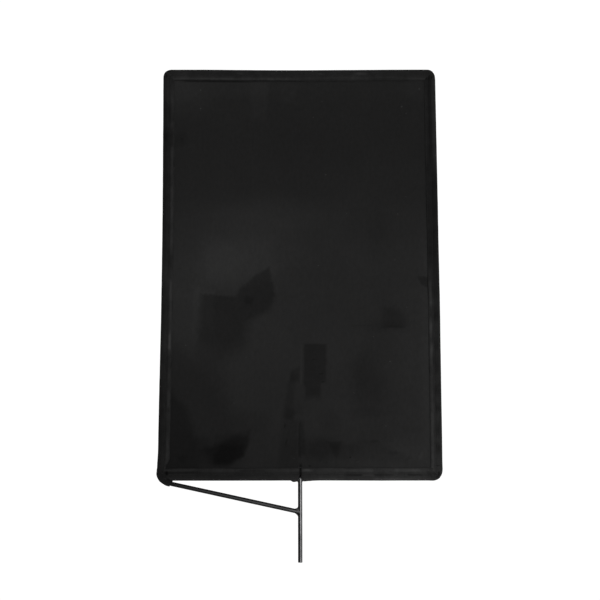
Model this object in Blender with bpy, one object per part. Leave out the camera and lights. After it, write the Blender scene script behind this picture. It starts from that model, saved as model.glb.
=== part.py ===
"""Grip flag: a black cloth stretched on a welded rod frame with a mounting pin.

Frame of the model: metres, +Z up along the mounting pin, origin at the centre of the
pin's free end face. The flag lies in the XZ plane, its front faces -Y, and the
diagonal brace runs to the -X corner.
"""
import math

import bmesh
import bpy
from mathutils import Vector

# ---------------------------------------------------------------- driving dimensions
MM = 0.001
ROD_D = 9.525 * MM            # 3/8 in steel rod, frame, brace and pin alike
ROD_R = ROD_D / 2
FRAME_W = 609.6 * MM          # 24 in over the rods
FRAME_H = 914.4 * MM          # 36 in over the rods
PIN_BELOW = 175.0 * MM        # pin end to the underside of the bottom rail
BEND_TL = 13.5 * MM           # centreline radii of the bends, front view
BEND_TR = 12.0 * MM
BEND_BR = 15.5 * MM
BEND_BL = 28.1 * MM           # the bend that turns into the brace
KNUCKLE = 2.6 * MM            # how far the lower left bend stands out past the upright
FLARE_TOP = 238.0 * MM        # where the upright starts to lean out to that knuckle
FLARE_RUN = 43.0 * MM
BRACE_Z0 = 106.35 * MM        # where the brace's axis meets the pin's axis
BRACE_SLOPE = -0.218          # rise of the brace per metre along +X
CLEAR = 0.3 * MM              # gap kept between touching pieces
CUT_R = ROD_R + CLEAR         # radius of a cut that clears a rod
CLOTH_T = 0.9 * MM            # napped cotton panel
SLEEVE_OUT = ROD_R + 1.0 * MM     # cloth round a rod, outside
SLEEVE_IN = ROD_R + 0.32 * MM     # cloth round a rod, inside
HEM = 25.0 * MM               # outer edge to the folded inner edge
FLAP_OUT = 1.35 * MM          # half thickness over both flaps
FLAP_IN = 0.75 * MM           # half thickness of the slot that holds the panel
PANEL_INSET = 13.4 * MM       # outer edge to the panel's own cut edge
SLIT_HALF = 1.2 * MM          # half width of the slit over the pin
NOTCH_HALF = 12.6 * MM        # half width of the notch that clears the pin's weld
SEAM_EDGE = 22.4 * MM         # outer edge to the seam beside the fold
SEAM_ROD = 12.7 * MM          # outer edge to the seam beside the rod
THREAD = 0.5 * MM             # thickness of a sewn row
WELD_GAP = 1.6 * MM           # gap left between rod ends for a butt weld

XC = FRAME_W / 2 - ROD_R               # centreline of the uprights
ZB = PIN_BELOW + ROD_R                 # centreline of the bottom rail
ZT = PIN_BELOW + FRAME_H - ROD_R       # centreline of the top rail
EDGE = SLEEVE_OUT                      # cloth edge outside the centreline

# how far each side stands off its straight line, halfway along
BOW_LEFT = 2.8 * MM
BOW_TOP = 1.35 * MM
BOW_RIGHT = 0.7 * MM

COLOURS = {
    "rod_steel": ((0.030, 0.030, 0.031, 1), 0.42, 0.6),
    "pin_steel": ((0.180, 0.180, 0.182, 1), 0.34, 0.9),
    "weld_metal": ((0.040, 0.040, 0.041, 1), 0.50, 0.6),
    "duvetyne": ((0.018, 0.018, 0.018, 1), 0.95, 0.0),
    "thread": ((0.022, 0.022, 0.023, 1), 0.80, 0.0),
}


# ---------------------------------------------------------------- scene helpers
def clear_scene():
    for ob in list(bpy.data.objects):
        bpy.data.objects.remove(ob, do_unlink=True)


def material(name):
    mat = bpy.data.materials.get(name)
    if mat is None:
        colour, rough, metal = COLOURS[name]
        mat = bpy.data.materials.new(name)
        mat.use_nodes = True
        bsdf = mat.node_tree.nodes["Principled BSDF"]
        bsdf.inputs["Base Color"].default_value = colour
        bsdf.inputs["Roughness"].default_value = rough
        bsdf.inputs["Metallic"].default_value = metal
        mat.diffuse_color = colour
    return mat


def add_object(name, bm, mat=None, smooth=True):
    bmesh.ops.remove_doubles(bm, verts=bm.verts, dist=1e-7)
    bmesh.ops.recalc_face_normals(bm, faces=bm.faces)
    mesh = bpy.data.meshes.new(name)
    bm.to_mesh(mesh)
    bm.free()
    if mat:
        mesh.materials.append(material(mat))
    if smooth:
        mesh.shade_smooth()
        mesh.set_sharp_from_angle(angle=math.radians(40))
    ob = bpy.data.objects.new(name, mesh)
    bpy.context.scene.collection.objects.link(ob)
    return ob


def cutter(ob):
    ob.hide_render = True
    ob.display_type = 'WIRE'
    return ob


def cut(ob, tool):
    mod = ob.modifiers.new("cut_" + tool.name, 'BOOLEAN')
    mod.operation = 'DIFFERENCE'
    mod.solver = 'EXACT'
    mod.object = tool
    return ob


# ---------------------------------------------------------------- the sides' slight bow
def smooth(t):
    t = min(max(t, 0.0), 1.0)
    return t * t * (3 - 2 * t)


def hump(t, power=1.2):
    return math.sin(math.pi * t) ** power if 0.0 < t < 1.0 else 0.0


def bow(x, z):
    """Moves a point of the ideal rectangle to where the sprung frame puts it."""
    left = smooth((-x - 0.03) / 0.23)
    right = smooth((x - 0.03) / 0.23)
    top = smooth((z - 0.55) / 0.45)
    dx = left * BOW_LEFT * hump((z - 0.24) / 0.85)
    dx += right * BOW_RIGHT * hump((z - 0.19) / 0.85)
    dz = -top * BOW_TOP * (0.5 + 0.5 * math.cos(math.pi * min(abs(x) / 0.26, 1.0)))
    return x + dx, z + dz


def flare(z):
    """The left upright leans out by the knuckle's width as it nears its bend."""
    return -KNUCKLE * smooth((FLARE_TOP - z) / FLARE_RUN)


# ---------------------------------------------------------------- centrelines
def arc(cx, cz, r, a0, a1, n):
    """Points of an arc, angles in degrees from +X towards +Z."""
    out = []
    for i in range(n + 1):
        a = math.radians(a0 + (a1 - a0) * i / n)
        out.append((cx + r * math.cos(a), cz + r * math.sin(a)))
    return out


def line(p, q, n):
    return [(p[0] + (q[0] - p[0]) * i / n, p[1] + (q[1] - p[1]) * i / n) for i in range(n + 1)]


def join(*runs):
    out = []
    for run in runs:
        for p in run:
            if not out or math.hypot(p[0] - out[-1][0], p[1] - out[-1][1]) > 1e-5:
                out.append(p)
    return out


BRACE_ANGLE = math.degrees(math.atan(BRACE_SLOPE))          # about -12.3
BL_CX = -XC - KNUCKLE + BEND_BL                             # centre of the lower left bend
BL_CZ = BRACE_Z0 + BRACE_SLOPE * BL_CX + BEND_BL * math.hypot(1, BRACE_SLOPE)
BRACE_DX = math.cos(math.radians(BRACE_ANGLE))
BRACE_DZ = math.sin(math.radians(BRACE_ANGLE))
BL_TAIL = 0.8 * MM                                          # straight run after the bend
BL_END = (BL_CX + BEND_BL * BRACE_DZ + BL_TAIL * BRACE_DX,
          BL_CZ - BEND_BL * BRACE_DX + BL_TAIL * BRACE_DZ)


def upright_left(z0, z1, n):
    return [(-XC + flare(z0 + (z1 - z0) * i / n), z0 + (z1 - z0) * i / n) for i in range(n + 1)]


def left_path(top_x, bl_steps=7):
    """Top butt joint, round the top left bend, down the side, round into the brace."""
    path = join(
        [(top_x, ZT)],
        arc(-XC + BEND_TL, ZT - BEND_TL, BEND_TL, 90, 180, 4),
        upright_left(ZT - BEND_TL, FLARE_TOP, 8),
        upright_left(FLARE_TOP, BL_CZ, 5),
        arc(BL_CX, BL_CZ, BEND_BL, 180, 270 + BRACE_ANGLE, bl_steps),
        [BL_END],
    )
    return path


def right_path(top_x, bottom_x):
    return join(
        [(top_x, ZT)],
        arc(XC - BEND_TR, ZT - BEND_TR, BEND_TR, 90, 0, 4),
        line((XC, ZT - BEND_TR), (XC, ZB + BEND_BR), 8),
        arc(XC - BEND_BR, ZB + BEND_BR, BEND_BR, 0, -90, 5),
        [(bottom_x, ZB)],
    )


# ---------------------------------------------------------------- swept rods
def frames(path):
    """Tangent and in-plane normal at each point of a path in the XZ plane."""
    out = []
    for i, (x, z) in enumerate(path):
        a = path[max(i - 1, 0)]
        b = path[min(i + 1, len(path) - 1)]
        if 0 < i < len(path) - 1:
            d0 = Vector((x - a[0], z - a[1])).normalized()
            d1 = Vector((b[0] - x, b[1] - z)).normalized()
            t = (d0 + d1).normalized()
        else:
            t = Vector((b[0] - a[0], b[1] - a[1])).normalized()
        out.append((t, Vector((-t.y, t.x))))
    return out


def sweep(path, radius, sides, phase=0.0):
    """A closed round bar along a path in the XZ plane."""
    bm = bmesh.new()
    rings = []
    for (x, z), (t, n) in zip(path, frames(path)):
        ring = []
        for k in range(sides):
            a = 2 * math.pi * (k + phase) / sides
            u, y = radius * math.cos(a), radius * math.sin(a)
            ring.append(bm.verts.new((x + n.x * u, y, z + n.y * u)))
        rings.append(ring)
    bm.faces.new(rings[0])
    bm.faces.new(list(reversed(rings[-1])))
    for r0, r1 in zip(rings, rings[1:]):
        for k in range(sides):
            j = (k + 1) % sides
            bm.faces.new((r0[k], r0[j], r1[j], r1[k]))
    return bm


def bowed(path):
    return [bow(x, z) for x, z in path]


def rod(name, path, mat="rod_steel", sides=12, radius=ROD_R):
    return add_object(name, sweep(bowed(path), radius, sides), mat)


# ---------------------------------------------------------------- the frame's rods
JOINT_TL = -XC + BEND_TL + 2.6 * MM
JOINT_TR = XC - BEND_TR - 2.6 * MM
JOINT_BR = XC - BEND_BR - 2.6 * MM


def build_rods():
    rod("left_rod", left_path(JOINT_TL))
    rod("right_rod", right_path(JOINT_TR, JOINT_BR))
    gap = WELD_GAP
    rod("top_rod", line((JOINT_TL + gap, ZT), (JOINT_TR - gap, ZT), 8))

    left_cut = cutter(rod("left_rod_clearance", left_path(JOINT_TL, 14)[3:], None, 24, ROD_R + 0.34 * MM))
    bottom = rod("bottom_rod", line((JOINT_BR - gap, ZB), (-XC + 2.6 * MM, ZB), 1))
    cut(bottom, left_cut)

    # brace: straight, butt-welded to the end of the bend, coped round the pin
    start = (BL_END[0] + BRACE_DX * gap, BL_END[1] + BRACE_DZ * gap)
    end_x = -1.0 * MM
    end = (end_x, BRACE_Z0 + BRACE_SLOPE * end_x)
    brace = rod("brace_rod", [start, end], sides=24)

    # mounting pin: chamfered free end at the origin, coped under the bottom rail
    bm = bmesh.new()
    chamfer = 0.8 * MM
    profile = [(ROD_R - chamfer, 0.0), (ROD_R, chamfer), (ROD_R, ZB - 1.2 * MM)]
    sides = 32
    rings = []
    for r, z in profile:
        rings.append([bm.verts.new((r * math.cos(2 * math.pi * k / sides),
                                    r * math.sin(2 * math.pi * k / sides), z)) for k in range(sides)])
    bm.faces.new(rings[0])
    bm.faces.new(rings[-1])
    for r0, r1 in zip(rings, rings[1:]):
        for k in range(sides):
            j = (k + 1) % sides
            bm.faces.new((r0[k], r0[j], r1[j], r1[k]))
    pin = add_object("mounting_pin", bm, "pin_steel")
    rail_cut = cutter(rod("rail_clearance", [(-0.03, ZB), (0.03, ZB)], None, 32, CUT_R + 0.03 * MM))
    cut(pin, rail_cut)
    pin_cut = cutter(add_object("pin_clearance", sweep_z(0.05, 0.15, CUT_R + 0.03 * MM, 40)))
    cut(brace, pin_cut)
    return left_cut, rail_cut, pin_cut


def sweep_z(z0, z1, radius, sides):
    bm = bmesh.new()
    bmesh.ops.create_cone(bm, cap_ends=True, segments=sides, radius1=radius, radius2=radius, depth=z1 - z0)
    bmesh.ops.translate(bm, verts=bm.verts, vec=(0, 0, (z0 + z1) / 2))
    return bm


# ---------------------------------------------------------------- welds
def butt_weld(name, centre, direction):
    """A ground flush disc of weld metal between two rod ends."""
    d = Vector(direction).normalized()
    half = (WELD_GAP - 2 * CLEAR) / 2
    pts = [(centre[0] - d.x * half, centre[1] - d.y * half), (centre[0] + d.x * half, centre[1] + d.y * half)]
    return add_object(name, sweep([bow(*p) for p in pts], ROD_R, 12), "weld_metal")


def fillet_collar(name, centre, axis, stations, sides=24):
    """Weld metal round a rod that meets another: a collar that flares towards the joint.

    stations: (distance along the axis, radius in the XZ plane, radius along Y)."""
    a = Vector(axis).normalized()
    n = Vector((-a.y, a.x))
    bm = bmesh.new()
    rings = []
    for d, ru, ry in stations:
        cx, cz = centre[0] + a.x * d, centre[1] + a.y * d
        ring = []
        for k in range(sides):
            t = 2 * math.pi * k / sides
            u, y = ru * math.cos(t), ry * math.sin(t)
            ring.append(bm.verts.new((cx + n.x * u, y, cz + n.y * u)))
        rings.append(ring)
    bm.faces.new(rings[0])
    bm.faces.new(rings[-1])
    for r0, r1 in zip(rings, rings[1:]):
        for k in range(sides):
            j = (k + 1) % sides
            bm.faces.new((r0[k], r0[j], r1[j], r1[k]))
    return add_object(name, bm, "weld_metal")


def build_welds(left_cut, rail_cut, pin_cut):
    half = WELD_GAP / 2
    butt_weld("weld_top_left", (JOINT_TL + half, ZT), (1, 0))
    butt_weld("weld_top_right", (JOINT_TR - half, ZT), (1, 0))
    butt_weld("weld_bottom_right", (JOINT_BR - half, ZB), (1, 0))
    butt_weld("weld_brace_end", (BL_END[0] + BRACE_DX * half, BL_END[1] + BRACE_DZ * half), (BRACE_DX, BRACE_DZ))

    # brace to pin: stations run from out along the brace to inside the pin
    tip = (0.0, BRACE_Z0)
    collar = fillet_collar("weld_brace_pin", tip, (-BRACE_DX, -BRACE_DZ), [
        (12.2 * MM, 5.35 * MM, 5.35 * MM),
        (10.0 * MM, 5.9 * MM, 5.6 * MM),
        (7.8 * MM, 7.2 * MM, 5.9 * MM),
        (5.6 * MM, 9.4 * MM, 6.0 * MM),
        (2.6 * MM, 11.6 * MM, 5.7 * MM)])
    brace_cut = cutter(rod("brace_clearance", [(-0.04, BRACE_Z0 + BRACE_SLOPE * -0.04), (0.02, BRACE_Z0 + BRACE_SLOPE * 0.02)],
                           None, 32, CUT_R + 0.03 * MM))
    cut(collar, brace_cut)
    cut(collar, pin_cut)

    # pin to bottom rail
    collar = fillet_collar("weld_pin_rail", (0.0, ZB), (0, -1), [
        (11.6 * MM, 5.35 * MM, 5.35 * MM),
        (9.6 * MM, 5.9 * MM, 5.6 * MM),
        (7.6 * MM, 7.4 * MM, 5.9 * MM),
        (5.6 * MM, 9.8 * MM, 6.0 * MM),
        (3.0 * MM, 11.8 * MM, 5.8 * MM)])
    pin_top = cutter(add_object("pin_top_clearance", sweep_z(0.16, 0.2, CUT_R + 0.03 * MM, 40)))
    cut(collar, pin_top)
    cut(collar, rail_cut)

    # bottom rail's left end to the inner side of the bend
    collar = fillet_collar("weld_rail_corner", (-XC, ZB), (1, 0), [
        (11.4 * MM, 5.35 * MM, 5.35 * MM),
        (9.6 * MM, 5.7 * MM, 5.7 * MM),
        (6.4 * MM, 6.2 * MM, 6.1 * MM)])
    rail_end = cutter(rod("rail_end_clearance", [(-0.32, ZB), (-0.27, ZB)], None, 32, CUT_R + 0.03 * MM))
    cut(collar, rail_end)
    cut(collar, left_cut)


# ---------------------------------------------------------------- cloth
def sleeve_section():
    """C-shaped section of a sleeve: u from the rod's centreline towards the panel, and y."""
    leg = HEM - EDGE
    root = 6.4 * MM
    throat = 5.9 * MM
    mid = 8.8 * MM
    pts = [(leg, -FLAP_OUT), (mid, -FLAP_OUT), (root, -FLAP_OUT)]
    for a in (-45, -75, -105, -135, -160, 180, 160, 135, 105, 75, 45):
        pts.append((SLEEVE_OUT * math.cos(math.radians(a)), SLEEVE_OUT * math.sin(math.radians(a))))
    pts += [(root, FLAP_OUT), (mid, FLAP_OUT), (leg, FLAP_OUT), (leg, FLAP_IN), (mid, FLAP_IN), (throat, FLAP_IN)]
    for a in range(30, 331, 30):
        pts.append((SLEEVE_IN * math.cos(math.radians(a)), SLEEVE_IN * math.sin(math.radians(a))))
    pts += [(throat, -FLAP_IN), (mid, -FLAP_IN), (leg, -FLAP_IN)]
    return pts


SECTION = sleeve_section()


def side_point(side, t, u):
    """Point of the ideal frame: t along the side (x or z), u inwards from its centreline."""
    if side == "left":
        return (-XC + flare(t) + u, t)
    if side == "right":
        return (XC - u, t)
    if side == "top":
        return (t, ZT - u)
    return (t, ZB + u)


def corner_rings(side, corner_t, sign, radius, steps):
    """Rings that carry a sleeve round half a bend, up to its mitre.

    The tube follows the bend. Cloth further in than the bend's centre runs on straight
    and stops at the mitre line."""
    tc = corner_t - sign * radius
    lead = 9.0 * MM
    rings = [[(side_point(side, tc - sign * lead, u), y) for u, y in SECTION]]
    for i in range(steps + 1):
        theta = math.radians(45.0 * i / steps)
        frac = (i + 1) / (steps + 1)
        ring = []
        for u, y in SECTION:
            rho = radius - u
            if rho > 0.4 * MM:
                t = tc + sign * rho * math.sin(theta)
                uu = radius - rho * math.cos(theta)
                if i == steps:
                    t -= sign * 0.25 * MM
            else:
                stop = min(rho, 0.0) - 0.25 * MM
                t = tc + sign * (-lead + (lead + stop) * frac)
                uu = u
            ring.append((side_point(side, t, uu), y))
        rings.append(ring)
    return rings


def straight_rings(side, t0, t1, n):
    return [[(side_point(side, t0 + (t1 - t0) * i / n, u), y) for u, y in SECTION] for i in range(n + 1)]


def notch_rings(sign):
    """The bottom sleeve's end at the pin: the tube stops short, the flaps reach the slit."""
    ring = []
    for u, y in SECTION:
        t = NOTCH_HALF if u < 7.0 * MM else SLIT_HALF
        if 7.0 * MM <= u < 9.0 * MM:
            t = NOTCH_HALF * 0.55
        ring.append((side_point("bottom", sign * t, u), y))
    return [[(side_point("bottom", sign * (NOTCH_HALF + 9 * MM), u), y) for u, y in SECTION], ring]


def bend_rings(steps):
    """The left sleeve below its flaps: a slit tube round the bend and a little way along the brace."""
    rings = []

    def short(u):
        return u if u < 7.0 * MM else (9.2 * MM if u > 9.0 * MM else u)

    end = 3.4 * MM
    for i in range(1, steps + 1):
        a = math.radians(180 + (90 + BRACE_ANGLE) * i / steps)
        ring = []
        for u, y in SECTION:
            r = BEND_BL - short(u)
            ring.append(((BL_CX + r * math.cos(a), BL_CZ + r * math.sin(a)), y))
        rings.append(ring)
    a = math.radians(270 + BRACE_ANGLE)
    ring = []
    for u, y in SECTION:
        r = BEND_BL - short(u)
        ring.append(((BL_CX + r * math.cos(a) + BRACE_DX * end, BL_CZ + r * math.sin(a) + BRACE_DZ * end), y))
    rings.append(ring)
    return rings


def sleeve(name, rings):
    bm = bmesh.new()
    loops = []
    for ring in rings:
        loops.append([bm.verts.new((bow(x, z)[0], y, bow(x, z)[1])) for (x, z), y in ring])
    n = len(loops[0])
    for end in (loops[0], loops[-1]):        # each end is a strip from the outer line to the inner
        for k in range(n // 2 - 1):
            bm.faces.new((end[k], end[k + 1], end[n - 2 - k], end[n - 1 - k]))
    for r0, r1 in zip(loops, loops[1:]):
        for k in range(n):
            j = (k + 1) % n
            bm.faces.new((r0[k], r0[j], r1[j], r1[k]))
    return add_object(name, bm, "duvetyne")


def build_cloth():
    # panel: one flat cloth, its cut edges lie between the sleeves' flaps
    x1 = XC + EDGE - PANEL_INSET
    z0, z1 = ZB - EDGE + PANEL_INSET, ZT + EDGE - PANEL_INSET
    nick = 10.0 * MM
    nx, nz = 10, 14
    bm = bmesh.new()
    grid = {}
    for side, y in (("front", -CLOTH_T / 2), ("back", CLOTH_T / 2)):
        for i in range(nx + 1):
            for k in range(nz + 1):
                x = -x1 + 2 * x1 * i / nx
                z = z0 + (z1 - z0) * k / nz
                if i in (0, nx) and k in (0, nz):        # trimmed corners
                    x -= math.copysign(nick / 2, x)
                    z += nick / 2 if k == 0 else -nick / 2
                bx, bz = bow(x, z)
                grid[side, i, k] = bm.verts.new((bx, y, bz))
    for i in range(nx):
        for k in range(nz):
            for side in ("front", "back"):
                q = [grid[side, i, k], grid[side, i + 1, k], grid[side, i + 1, k + 1], grid[side, i, k + 1]]
                bm.faces.new(q if side == "front" else list(reversed(q)))
    rim = [(i, 0) for i in range(nx)] + [(nx, k) for k in range(nz)]
    rim += [(i, nz) for i in range(nx, 0, -1)] + [(0, k) for k in range(nz, 0, -1)]
    for a, b in zip(rim, rim[1:] + rim[:1]):
        bm.faces.new((grid["front", *a], grid["front", *b], grid["back", *b], grid["back", *a]))
    panel = add_object("fabric_panel", bm, "duvetyne", smooth=False)

    lead = 9.0 * MM
    top_l = ZT - BEND_TL - lead
    top_r = ZT - BEND_TR - lead
    bot_r = ZB + BEND_BR + lead

    # left: mitre at the top, flaps end above the bottom rail, tube goes on round the bend
    rings = list(reversed(corner_rings("left", ZT, 1, BEND_TL, 3)))
    flap_end = ZB + 9.4 * MM
    rings += straight_rings("left", top_l, FLARE_TOP, 8)[1:]
    rings += straight_rings("left", FLARE_TOP, 0.205, 4)[1:]
    last = []
    for u, y in SECTION:
        if u < 7.0 * MM:
            last.append((side_point("left", BL_CZ, u), y))
        elif u < 9.0 * MM:
            last.append((side_point("left", BL_CZ - 1.0 * MM, u), y))
        else:
            last.append((side_point("left", flap_end, u), y))
    rings.append(last)
    rings += bend_rings(6)
    left = sleeve("sleeve_left", rings)
    slot = cutter(rod("rail_slot", [(-XC + 1.5 * MM, ZB), (-0.25, ZB)], None, 20, 6.6 * MM))
    cut(left, slot)

    rings = list(reversed(corner_rings("top", -XC, -1, BEND_TL, 3)))
    rings += straight_rings("top", -XC + BEND_TL + lead, XC - BEND_TR - lead, 8)[1:-1]
    rings += corner_rings("top", XC, 1, BEND_TR, 3)
    sleeve("sleeve_top", rings)

    rings = list(reversed(corner_rings("right", ZT, 1, BEND_TR, 3)))
    rings += straight_rings("right", top_r, bot_r, 8)[1:-1]
    rings += corner_rings("right", ZB, -1, BEND_BR, 3)
    sleeve("sleeve_right", rings)

    rings = list(reversed(corner_rings("bottom", XC, 1, BEND_BR, 3)))
    rings += notch_rings(1)
    sleeve("sleeve_bottom_right", rings)

    rings = list(reversed(notch_rings(-1)))
    rings += [[(side_point("bottom", -XC - EDGE + HEM + 1.3 * MM, u), y) for u, y in SECTION]]
    sleeve("sleeve_bottom_left", rings)
    return panel


# ---------------------------------------------------------------- sewing
def spread(t0, t1, n):
    return [t0 + (t1 - t0) * i / n for i in range(n + 1)]


def thread(name, side, inset, stations):
    """One sewn row on the front flap: a thin flat-bottomed bead just above the cloth."""
    u = inset - EDGE
    y0 = -FLAP_OUT - CLEAR
    w = 0.7 * MM / 2
    bm = bmesh.new()
    loops = []
    for t in stations:
        ring = []
        for du, y in ((-w, y0), (-w * 0.6, y0 - THREAD), (w * 0.6, y0 - THREAD), (w, y0)):
            x, z = bow(*side_point(side, t, u + du))
            ring.append(bm.verts.new((x, y, z)))
        loops.append(ring)
    bm.faces.new(loops[0])
    bm.faces.new(list(reversed(loops[-1])))
    for r0, r1 in zip(loops, loops[1:]):
        for k in range(4):
            j = (k + 1) % 4
            bm.faces.new((r0[k], r0[j], r1[j], r1[k]))
    return add_object(name, bm, "thread", smooth=False)


def build_sewing():
    for label, inset in (("edge", SEAM_EDGE), ("rod", SEAM_ROD)):
        u = inset - EDGE                     # each row stops short of the mitres and bends

        def stop(bend):
            return max(u, bend) + 1.0 * MM

        low = [0.1915] + spread(0.205, FLARE_TOP, 4)
        thread(f"seam_{label}_left", "left", inset, low + spread(FLARE_TOP, ZT - stop(BEND_TL), 8)[1:])
        thread(f"seam_{label}_top", "top", inset, spread(-XC + stop(BEND_TL), XC - stop(BEND_TR), 10))
        thread(f"seam_{label}_right", "right", inset, spread(ZB + stop(BEND_BR), ZT - stop(BEND_TR), 10))
        near = 9.5 * MM if label == "edge" else NOTCH_HALF + 1.0 * MM     # end beside the pin
        thread(f"seam_{label}_bottom_right", "bottom", inset, [near, XC - stop(BEND_BR)])
        thread(f"seam_{label}_bottom_left", "bottom", inset, [-XC - EDGE + HEM + 3.0 * MM, -near])

    # bar tack that closes the top of the slit over the pin
    bm = bmesh.new()
    bmesh.ops.create_cube(bm, size=1.0)
    bmesh.ops.scale(bm, verts=bm.verts, vec=(9.0 * MM, 0.7 * MM, 2.0 * MM))
    bmesh.ops.bevel(bm, geom=[e for e in bm.edges], offset=0.22 * MM, segments=1, affect='EDGES')
    bmesh.ops.translate(bm, verts=bm.verts, vec=(0, -CLOTH_T / 2 - CLEAR - 0.45 * MM, ZB - EDGE + HEM + 2.2 * MM))
    add_object("slit_bar_tack", bm, "thread", smooth=False)


def main():
    clear_scene()
    cuts = build_rods()
    build_welds(*cuts)
    build_cloth()
    build_sewing()


main()
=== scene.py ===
import math

import bpy
import numpy as np
from mathutils import Matrix, Vector


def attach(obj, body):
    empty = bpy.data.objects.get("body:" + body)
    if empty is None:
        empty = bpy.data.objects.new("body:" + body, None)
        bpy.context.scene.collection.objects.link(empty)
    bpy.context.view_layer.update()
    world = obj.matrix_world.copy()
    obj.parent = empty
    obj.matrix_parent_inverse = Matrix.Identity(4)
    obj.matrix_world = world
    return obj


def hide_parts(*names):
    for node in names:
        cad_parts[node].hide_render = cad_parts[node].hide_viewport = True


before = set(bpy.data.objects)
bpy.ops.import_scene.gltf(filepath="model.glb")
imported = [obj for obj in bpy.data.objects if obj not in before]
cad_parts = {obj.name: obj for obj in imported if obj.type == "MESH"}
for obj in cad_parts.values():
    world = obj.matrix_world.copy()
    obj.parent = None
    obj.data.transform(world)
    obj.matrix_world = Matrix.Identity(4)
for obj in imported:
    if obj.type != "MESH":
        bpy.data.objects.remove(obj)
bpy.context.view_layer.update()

# ---------------------------------------------------------------- sizes, as in the CAD (metres)
MM = 0.001
ROD_R = 4.7625 * MM
FRAME_W = 609.6 * MM
FRAME_H = 914.4 * MM
PIN_BELOW = 175.0 * MM
BEND_TL = 13.5 * MM
BEND_TR = 12.0 * MM
BEND_BR = 15.5 * MM
BEND_BL = 28.1 * MM
KNUCKLE = 2.6 * MM
FLARE_TOP = 238.0 * MM
FLARE_RUN = 43.0 * MM
BRACE_Z0 = 106.35 * MM
BRACE_SLOPE = -0.218
EDGE = ROD_R + 1.0 * MM          # centreline of a rod to the nominal outer edge of the cloth
HEM = 25.0 * MM
PANEL_INSET = 13.4 * MM
CLOTH_T = 0.9 * MM
SEAM_EDGE = 22.4 * MM            # outer edge to the sewn row beside the fold
SEAM_ROD = 12.7 * MM             # outer edge to the sewn row beside the rod
BOW_LEFT, BOW_TOP, BOW_RIGHT = 2.8 * MM, 1.35 * MM, 0.7 * MM

XC = FRAME_W / 2 - ROD_R
ZB = PIN_BELOW + ROD_R
ZT = PIN_BELOW + FRAME_H - ROD_R

BRACE_A = math.atan(BRACE_SLOPE)
BL_CX = -XC - KNUCKLE + BEND_BL
BL_CZ = BRACE_Z0 + BRACE_SLOPE * BL_CX + BEND_BL * math.hypot(1, BRACE_SLOPE)
BRACE_DX, BRACE_DZ = math.cos(BRACE_A), math.sin(BRACE_A)

STITCH = 3.4 * MM                # pitch of the stitches
STEP = STITCH / 2                # spacing of the cloth's points along a hem
SKIN = 0.35 * MM                 # half the thickness of the hem cloth
TUBE = 5.95 * MM                 # rod's centreline to the middle of the cloth over it


def smooth(t):
    t = np.clip(t, 0.0, 1.0)
    return t * t * (3 - 2 * t)


def hump(t, power=1.2):
    t = np.asarray(t, float)
    s = np.maximum(np.sin(np.pi * np.clip(t, 0, 1)), 0.0)
    return np.where((t > 0) & (t < 1), s ** power, 0.0)


def bow(x, z):
    """The frame's slight bow under the stretched cloth, and all that sits on it."""
    left, right, top = smooth((-x - 0.03) / 0.23), smooth((x - 0.03) / 0.23), smooth((z - 0.55) / 0.45)
    dx = left * BOW_LEFT * hump((z - 0.24) / 0.85) + right * BOW_RIGHT * hump((z - 0.19) / 0.85)
    dz = -top * BOW_TOP * (0.5 + 0.5 * np.cos(np.pi * np.minimum(np.abs(x) / 0.26, 1.0)))
    return x + dx, z + dz


def flare(z):
    return -KNUCKLE * smooth((FLARE_TOP - z) / FLARE_RUN)


def soft_max(a, b, k):
    return 0.5 * (a + b + np.sqrt((a - b) ** 2 + k * k))


def bell(x, c, w):
    return np.exp(-((x - c) / w) ** 2)


class Noise:
    """Smooth value noise over one or two coordinates, the same on every run."""

    def __init__(self, seed):
        self.g = np.random.RandomState(seed).uniform(-1, 1, (128, 128))

    def __call__(self, x, y=0.0):
        x, y = np.broadcast_arrays(np.asarray(x, float), np.asarray(y, float))
        xi, yi = np.floor(x).astype(int), np.floor(y).astype(int)
        fx, fy = x - xi, y - yi
        fx = fx ** 3 * (fx * (fx * 6 - 15) + 10)
        fy = fy ** 3 * (fy * (fy * 6 - 15) + 10)
        g, a, b, c, d = self.g, xi % 128, (xi + 1) % 128, yi % 128, (yi + 1) % 128
        return (g[a, c] * (1 - fx) + g[b, c] * fx) * (1 - fy) + (g[a, d] * (1 - fx) + g[b, d] * fx) * fy


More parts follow.
